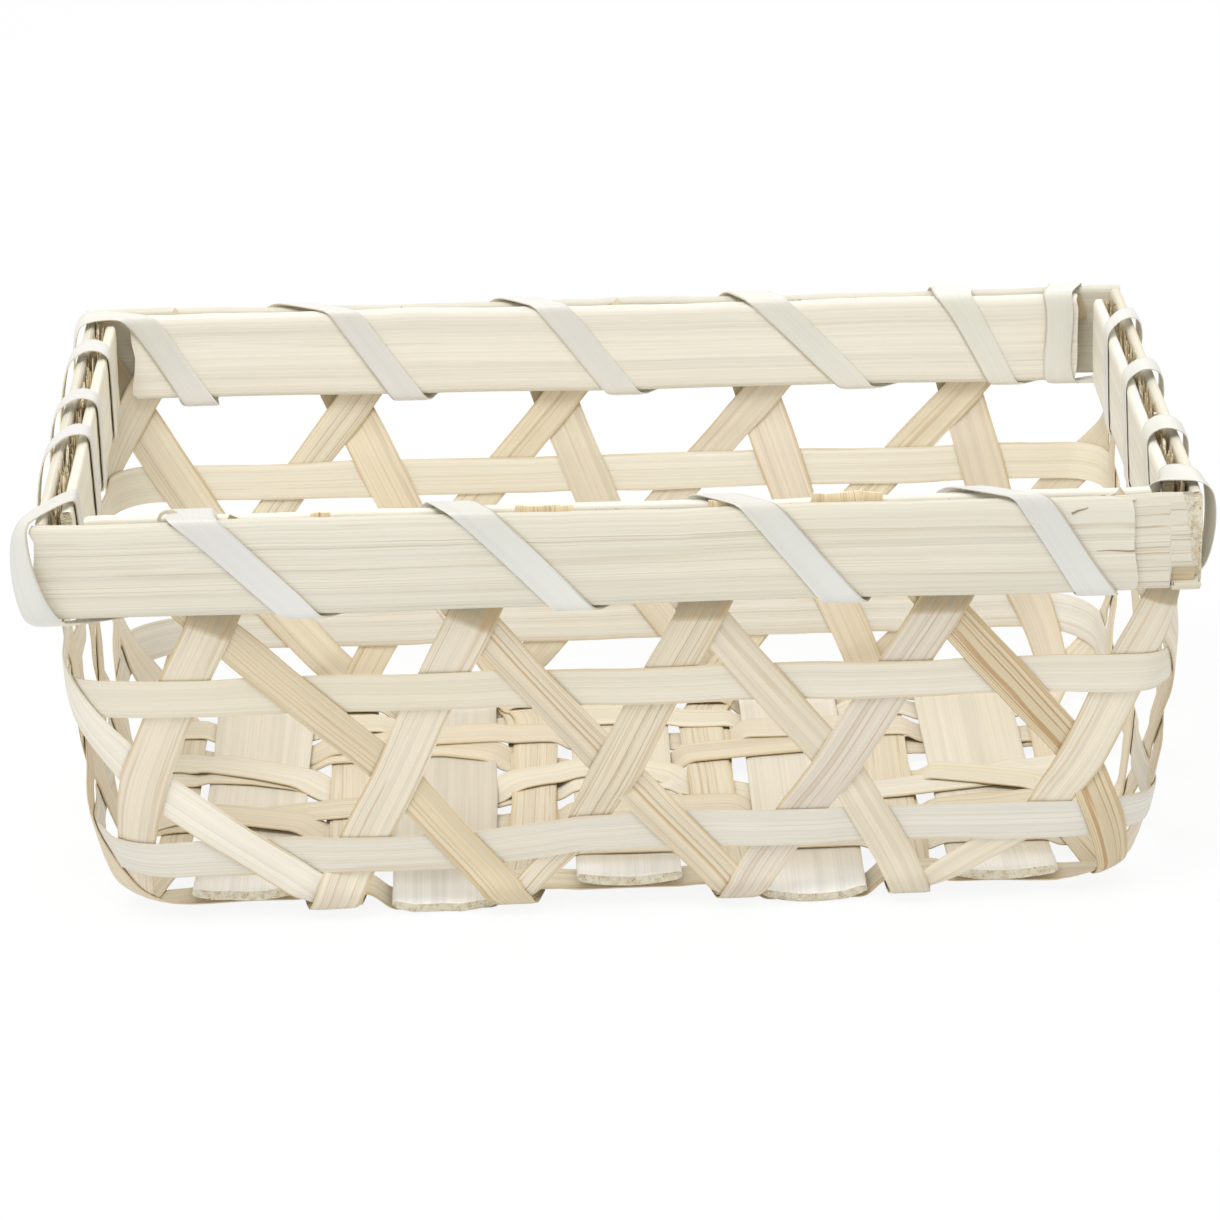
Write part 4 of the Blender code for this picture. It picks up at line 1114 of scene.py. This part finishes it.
def stake_tips(tips, y, seed):
    """Tops of single stakes that stand a little above the rim; each tip is its place, width and height."""
    roll = dice(seed)
    lines = []
    for x, width, rise in tips:
        for part in np.linspace(-0.38, 0.38, 4):
            z = np.linspace(RIM_TOP - SLIVER_LONG, RIM_TOP + rise * roll.uniform(0.7, 1.0), 4)
            lean = roll.uniform(-0.06, 0.06) * width * np.linspace(0, 1, 4) ** 2
            depth = np.full(4, y) + roll.uniform(-0.0001, 0.0001)
            points = np.stack([x + part * width + lean, depth, z], axis=1)
            lines.append((points, width * roll.uniform(0.45, 0.6), STRIP, FORWARD))
    return lines


def curled_fibre(x, wide, rise, y):
    """A fibre that curls up out of the rim and back into it."""
    turn = np.linspace(-0.2, math.pi + 0.2, 14)
    points = np.stack([x - wide / 2 * np.cos(turn), np.full(14, y), RIM_TOP + rise * np.sin(turn)], axis=1)
    return [(points, 0.0007, 0.0005, FORWARD)]


def crack(x, z, x_end, z_end, wide):
    """A dark sliver of painted shade along a split in the outer face of the front slat."""
    share = np.linspace(0.0, 1.0, 8)
    rise = wander(share, int(abs(x) / MM), *CRACK_WAVE)
    y = np.full(8, -DEPTH / 2 + wide / 4)
    points = np.stack([x + share * (x_end - x), y, z + share * (z_end - z) + rise], axis=1)
    return points, wide, wide, FORWARD


def add_slivers():
    x_mid, y_mid = HALF_X, HALF_Y
    x_far, y_far = x_mid - RIM_MARGIN, y_mid - RIM_MARGIN
    slivers("fibres_left", upright_slivers((-x_mid, y_far, 0), (-x_mid, -y_far, 0), 210, 601, 0.0006), 601)
    slivers("fibres_right", upright_slivers((x_mid, -y_far, 0), (x_mid, y_far, 0), 210, 602, 0.0006), 602)
    slivers("fibres_front", upright_slivers((-x_far, -y_mid, 0), (x_far, -y_mid, 0), 130, 603, -0.0002),
            603)
    # the stake tips are their own warmer colour, lightened as painted light
    slivers("stake_tips_front", stake_tips(STAKE_TIPS, -y_mid, 605), 605, look="strip_bamboo", point=0.8,
            shares=TIP_TONE_AND_LIGHT)
    # dark slivers of painted shade in the cracks of the front slat
    slivers("rim_crack_shades", [crack(*ends) for ends in CRACKS], 607, point=0.4, shares=CRACK_PAINTED_SHADE)
    slivers("curl_front", curled_fibre(*CURL, -y_mid), 606, look="strip_bamboo", point=0.8)
    slivers("fibres_back", upright_slivers((x_far, y_mid, 0), (-x_far, y_mid, 0), 130, 604, 0.0), 604)


# lashing

def lashing_turns():
    """Corners of the rough path: unit along the rim, 1 outside or 0 inside, 1 above or 0 below."""
    tops, lows = LASHING_TOP_SHARES, LASHING_LOW_SHARES
    before = lows[-1] - UNITS
    head = before + LASHING_HEAD_SHARE * (tops[0] - before)
    corners = [(head, 0.0, LASHING_HEAD_SHARE)]
    for top, low, lean, below in zip(tops, lows, LASHING_TOP_LEAN_SHARES, LASHING_LOW_LEAN_SHARES):
        corners += [(top - lean, 0.0, 1.0), (top + lean, 1.0, 1.0), (low - below, 1.0, 0.0),
                    (low + below, 0.0, 0.0)]
    tail = lows[-1] + LASHING_TAIL_SHARE * (tops[0] + UNITS - lows[-1])
    corners.append((tail, 0.0, LASHING_TAIL_SHARE))
    return np.array(corners)


def side_share(unit):
    """One along the left and the right of the basket, easing to zero at their corners."""
    unit = np.mod(unit, UNITS)
    right = np.minimum(unit - CORNERS[1], CORNERS[2] - unit)
    left = np.minimum(unit - CORNERS[3], UNITS - unit)
    return np.clip(2 * np.maximum(right, left), 0.0, 1.0)


def corner_distance(unit):
    """Rough distance along the rim to the nearest corner of the basket."""
    gaps = np.abs(np.mod(unit, UNITS)[:, None] - np.array(CORNERS + (UNITS,))[None])
    return gaps.min(axis=1) * LENGTH / SIDE_UNITS[0]


def corner_share(unit, corner):
    """One at a corner, given in weave units, falling to zero beside it."""
    away = np.abs(np.mod(unit - corner + UNITS / 2, UNITS) - UNITS / 2) * LENGTH / SIDE_UNITS[0]
    return np.exp(-(away / FRONT_SPREAD) ** 2)


def rim_point(unit, out, up):
    """Point beside the rim: out blends from the inner to the outer face, up from below to above."""
    x_out, y_out = LENGTH / 2 + LASHING_SIDE, DEPTH / 2 + LASHING_SIDE
    bulge = np.sqrt(np.sin(math.pi * np.clip(up, 0.001, 0.999)))
    near = np.exp(-(corner_distance(unit) / LOOP_SPREAD) ** 2) * bulge
    sides = SIDE_LOOP * side_share(unit) * bulge
    x_far, y_far = plan_point(unit, x_out + CORNER_LOOP * near + sides, y_out + CORNER_LOOP * near,
                              LASHING_CORNER + CORNER_ROUND * near)
    x_far = x_far - FRONT_LEFT_LOOP * corner_share(unit, 0)
    x_far = x_far + FRONT_RIGHT_LOOP * corner_share(unit, SIDE_UNITS[0]) * bulge
    thick = 2 * RIM_SLAT + STAKE_ROOM + 2 * LASHING_SIDE
    x_near, y_near = plan_point(unit, x_out - thick, y_out - thick, INNER_CORNER)
    arch = SIDE_ARCH * side_share(unit) * np.sin(math.pi * np.clip(out, 0, 1))
    low, high = RIM_LOW - LASHING_UNDER, RIM_TOP + LASHING_OVER + arch
    x = x_near + out * (x_far - x_near)
    y = y_near + out * (y_far - y_near)
    return np.stack([x, y, low + up * (high - low)], axis=1)


def lashing_span(unit, points):
    """Half width of the band measured along the rim, in weave units."""
    along = np.gradient(unit) * UNIT_LONG
    total = np.linalg.norm(np.gradient(points, axis=0), axis=1)
    upright = np.sqrt(np.maximum(1 - (along / total) ** 2, 0.25))
    return smooth(LASHING_WIDE / 2 / upright, LASHING_EASE) / UNIT_LONG


def add_lashing():
    corners = lashing_turns()
    placed = rim_point(corners[:, 0], corners[:, 1], corners[:, 2])
    lengths = np.linalg.norm(np.diff(placed, axis=0), axis=1)
    counts = np.maximum(2, np.ceil(lengths / STEP).astype(int))
    runs = [first + (np.arange(count) / count)[:, None] * (second - first)
            for first, second, count in zip(corners, corners[1:], counts)]
    path = np.concatenate(runs + [corners[-1:]])
    unit = smooth(path[:, 0], LASHING_EASE)
    span = lashing_span(unit, rim_point(unit, path[:, 1], path[:, 2]))
    rails = [smooth(rim_point(unit + side * span, path[:, 1], path[:, 2]), LASHING_ROUNDS)
             for side in np.linspace(-1, 1, RAILS)]
    rows = np.stack(rails, axis=1)
    along = distance_along(rows[:, RAILS // 2])
    keep = thin_out(rows, SAG)
    middle = rows[keep, RAILS // 2]
    low = np.clip((RIM_TOP - middle[:, 2]) / RIM_BAND, 0.0, 1.0)
    back = np.clip(0.5 + middle[:, 1] / DEPTH, 0.0, 1.0)
    # the right front loop is lightened as painted light against the shade inside it
    ring = corner_share(unit[keep], SIDE_UNITS[0]) * low
    all_over, lower, behind, loop_painted_light = LASHING_LIGHTNESS
    light = all_over + lower * low + behind * back + loop_painted_light * ring
    warm = LASHING_WARMTH[0] + LASHING_WARMTH[1] * low
    tone = np.stack([light, warm, np.full(len(keep), LASHING_LINES)], axis=1)
    ribbon("lashing_wound", rows[keep], along[keep], np.full(len(keep), LASHING_WIDE), LASHING, 500,
           "lashing_bamboo", "lashing", tone=tone)


# materials

def feed(value, socket):
    """Gives a socket its value: the output of another node, or a plain number, vector or colour."""
    if hasattr(value, "is_linked"):
        socket.id_data.links.new(value, socket)
    else:
        socket.default_value = (*value, 1.0) if socket.type == "RGBA" else value


def node(near, kind, values=(), **settings):
    """A new node in the tree of near; values feed its first inputs, settings the others and properties."""
    made = near.id_data.nodes.new(kind)
    for key, value in settings.items():
        if key in made.inputs:
            feed(value, made.inputs[key])
        else:
            setattr(made, key, value)
    for socket, value in zip(made.inputs, values):
        feed(value, socket)
    return made


def maths(operation, *values):
    return node(values[0], "ShaderNodeMath", values, operation=operation).outputs[0]


def stretched_noise(fibre, scale, detail, roughness=0.55):
    """Noise drawn out along the fibres of a strip."""
    scaled = node(fibre, "ShaderNodeVectorMath", (fibre, scale), operation="MULTIPLY").outputs[0]
    return node(fibre, "ShaderNodeTexNoise", Vector=scaled, Scale=1.0, Detail=detail,
                Roughness=roughness).outputs["Fac"]


def ramp(source, stops):
    """Colours at their places between zero and one."""
    made = node(source, "ShaderNodeValToRGB", (source,))
    elements = made.color_ramp.elements
    while len(elements) < len(stops):
        elements.new(0.5)
    for element, (position, colour) in zip(elements, stops):
        element.position = position
        element.color = (*colour, 1.0)
    return made.outputs["Color"]


def grey(value):
    return (value, value, value)


def fade(source, start, stop, low=0.0, high=1.0):
    """Grey that goes from low to high while the source goes from start to stop."""
    return ramp(source, [(start, grey(low)), (stop, grey(high))])


def mix(factor, first, second, blend_type="MIX"):
    made = node(first, "ShaderNodeMix", data_type="RGBA", blend_type=blend_type)
    for number, value in ((0, factor), (6, first), (7, second)):
        feed(value, made.inputs[number])
    return made.outputs[2]


def times(product, *others):
    """Colours or greys multiplied with each other."""
    for other in others:
        product = mix(1.0, product, other, "MULTIPLY")
    return product


def worn_and_shaded_edges(fibre, tone, share, single):
    """Thin brown lines along both edges of a strip, or along a single one, broken here and there: the husk's
    colour, and partly painted shade along the edges.
    """
    side = node(fibre, "ShaderNodeAttribute", attribute_name="side").outputs["Fac"]
    line = fade(side if single else maths("ABSOLUTE", side), 0.84, 0.97)
    gaps = fade(stretched_noise(fibre, (60, 26, 5.3), 2), 0.42, 0.58, 0.1)
    return mix(times(line, gaps, grey(share)), tone, DARK_HUSK if single else HUSK)


def contour(source, half):
    """One along the thin lines where a smooth noise passes its middle value."""
    size = maths("ABSOLUTE", maths("SUBTRACT", source, 0.5))
    return ramp(size, [(0.0, grey(1)), (half, grey(0.75)), (half * 2.2, grey(0))])


def brown_lines(fibre, strong, pitch):
    """Thin lines in clusters along the fibres, and thinner ones broken into dashes."""
    lines = contour(stretched_noise(fibre, (430 / pitch, 1.4, 2.3), 0), 0.012)
    clusters = fade(stretched_noise(fibre, (160 / pitch, 4.0, 1.9), 1), 0.40, 0.62, 0.12)
    more_lines = contour(stretched_noise(fibre, (900 / pitch, 2.1, 4.3), 0), 0.016)
    dashes = fade(stretched_noise(fibre, (700 / pitch, 48, 6.1), 1), 0.40, 0.52)
    return times(lines, clusters, strong), times(more_lines, strong, dashes)


def new_material(name):
    """A material under its name in looks, its nodes and its shader."""
    looks[name] = material = bpy.data.materials.new(name)
    material.use_nodes = True
    return material.node_tree, material.node_tree.nodes["Principled BSDF"]


def emboss(shader, height, strength, distance):
    raised = node(height, "ShaderNodeBump", Strength=strength, Distance=distance, Height=height)
    feed(raised.outputs["Normal"], shader.inputs["Normal"])


def bamboo(name, tones, streak, streak_share, rough, bump, pitch, depth=0.12, edge_share=0.0, single=False):
    """Split bamboo: tones that change from strip to strip, straight fibres and thin brown lines."""
    tree, shader = new_material(name)
    fibre, own = [node(tree, "ShaderNodeAttribute", attribute_name=label).outputs["Vector"]
                  for label in ("fibre", "tone")]
    light, warm, strong = node(tree, "ShaderNodeSeparateXYZ", (own,)).outputs
    tone = ramp(stretched_noise(fibre, (26, 5.5, 3.1), 1), list(zip((0.33, 0.50, 0.67), tones)))
    tone = mix(warm, tone, WARM)
    tone = mix(maths("MULTIPLY", warm, -1.0), tone, PALE)
    broad = stretched_noise(fibre, (520 / pitch, 2.2, 1.3), 3)
    tone = times(tone, light, fade(broad, 0.36, 0.60, 1 - depth))
    thin, thinner = brown_lines(fibre, strong, pitch)
    tone = mix(times(thin, grey(streak_share)), tone, streak)
    tone = mix(times(thinner, grey(streak_share * 0.8)), tone, streak)
    # brown edge lines: partly worn husk, partly painted shade
    if edge_share:
        tone = worn_and_shaded_edges(fibre, tone, edge_share, single)
    fine = stretched_noise(fibre, (3000 / pitch, 9, 1), 3, 0.6)
    feed(times(tone, fade(fine, 0.34, 0.60, 1 - 0.9 * depth)), shader.inputs["Base Color"])
    feed(fade(fine, 0.3, 0.7, rough + 0.10, rough - 0.05), shader.inputs["Roughness"])
    grooves = times(fade(fine, 0.2, 0.8, 0.6), fade(thin, 0.0, 0.6, 1.0, 0.15))
    emboss(shader, grooves, bump, GROOVE)
    shader.inputs["Specular IOR Level"].default_value = 0.35


def porous(name, dark, light, pale, scale):
    """Rough cut bamboo with open pores, by place and not along the fibres."""
    tree, shader = new_material(name)
    place = node(tree, "ShaderNodeNewGeometry").outputs["Position"]
    pores = node(tree, "ShaderNodeTexVoronoi", Vector=place, Scale=scale).outputs["Distance"]
    coarse = node(tree, "ShaderNodeTexNoise", Vector=place, Scale=scale / 3, Detail=3.0).outputs["Fac"]
    dots = ramp(pores, [(0.12, dark), (0.42, light)])
    feed(mix(fade(coarse, 0.38, 0.60), dots, pale), shader.inputs["Base Color"])
    emboss(shader, pores, 0.8, PORE)
    shader.inputs["Roughness"].default_value = 0.8


def add_materials():
    for name, values in BAMBOOS.items():
        bamboo(name, *values)
    polished = looks["lashing_bamboo"].node_tree.nodes["Principled BSDF"].inputs
    polished["Coat Weight"].default_value = 0.15
    polished["Coat Roughness"].default_value = 0.3
    porous("cut", (0.30, 0.22, 0.13), (0.68, 0.59, 0.41), (0.80, 0.75, 0.60), 2400.0)


# floor, light and camera

def seen_share(tree):
    """One for rays from the camera, from gloss and through glass, and zero for light on the object."""
    rays = node(tree, "ShaderNodeLightPath").outputs
    both = maths("MAXIMUM", rays["Is Camera Ray"], rays["Is Glossy Ray"])
    return maths("MAXIMUM", both, rays["Is Transmission Ray"])


def blend(share, lit, white, output):
    """Shows white by its share in place of the lit shader."""
    mixed = node(share, "ShaderNodeMixShader", (share, lit.outputs[0], white.outputs[0]))
    feed(mixed.outputs[0], share.id_data.nodes[output].inputs["Surface"])


def add_floor():
    mesh = bpy.data.meshes.new("floor")
    corners = [(x * FLOOR_REACH, y * FLOOR_REACH, 0) for x, y in ((-1, -1), (1, -1), (1, 1), (-1, 1))]
    mesh.from_pydata(corners, [], [(0, 1, 2, 3)])
    floor = link("floor", mesh)
    tree, shader = new_material("floor")
    tree.nodes.remove(shader)
    diffuse = node(tree, "ShaderNodeBsdfDiffuse", Color=FLOOR_GREY)
    glow = node(tree, "ShaderNodeEmission", Color=WHITE, Strength=1.0)
    blend(maths("MULTIPLY", seen_share(tree), FLOOR_WHITE), diffuse, glow, "Material Output")
    mesh.materials.append(looks["floor"])


def add_world():
    world = bpy.context.scene.world = bpy.data.worlds.new("studio")
    world.use_nodes = True
    tree = world.node_tree
    soft = tree.nodes["Background"]
    feed(WHITE, soft.inputs["Color"])
    feed(SKY, soft.inputs["Strength"])
    white = node(tree, "ShaderNodeBackground", Color=WHITE, Strength=1.0)
    blend(seen_share(tree), soft, white, "World Output")


def add_lamp(name, place, size, power):
    data = bpy.data.lights.new(name, "AREA")
    data.shape = "DISK"
    data.size = size
    data.energy = power
    away = Matrix.Translation(place)
    direction = -away.to_translation()
    direction.z += LAMP_AIM
    link(name, data).matrix_world = away @ direction.to_track_quat("-Z", "Y").to_matrix().to_4x4()


def add_camera():
    """Camera turned and rolled as fitted, with the photograph's field of view."""
    ahead = np.array([0, math.cos(CAMERA_PITCH), -math.sin(CAMERA_PITCH)])
    right = np.array([1.0, 0.0, 0.0])
    up = np.cross(right, ahead)
    away = -ahead * CAMERA_AWAY + right * CAMERA_RIGHT + up * CAMERA_UP + np.array([0, 0, CAMERA_RAISE])
    c, s = math.cos(-CAMERA_YAW), math.sin(-CAMERA_YAW)
    turn = np.array([[c, -s, 0], [s, c, 0], [0, 0, 1]])
    c, s = math.cos(CAMERA_ROLL), math.sin(CAMERA_ROLL)
    columns = [turn @ (c * right + s * up), turn @ (c * up - s * right), turn @ -ahead, turn @ away]
    data = bpy.data.cameras.new("camera")
    data.sensor_width = SENSOR
    data.lens = CAMERA_FOCAL / PICTURE * SENSOR
    data.clip_start = CLIP
    camera = link("camera", data)
    grid = np.eye(4)
    grid[:3] = np.stack(columns, axis=1)
    camera.matrix_world = Matrix(grid.tolist())
    bpy.context.scene.camera = camera


def main():
    bpy.context.scene.view_settings.view_transform = "Standard"
    add_materials()
    add_rim()
    add_slivers()
    add_lashing()
    add_wall_weaver("weaver_upper", 1, UPPER_WIDE, 91, UPPER_TONE)
    add_wall_weaver("weaver_lower", 0, LOWER_WIDE, 95, LOWER_TONE)
    add_base_slats()
    add_base_weavers()
    add_columns()
    add_rows()
    add_floor()
    add_world()
    for lamp in LAMPS:
        add_lamp(*lamp)
    add_camera()


main()
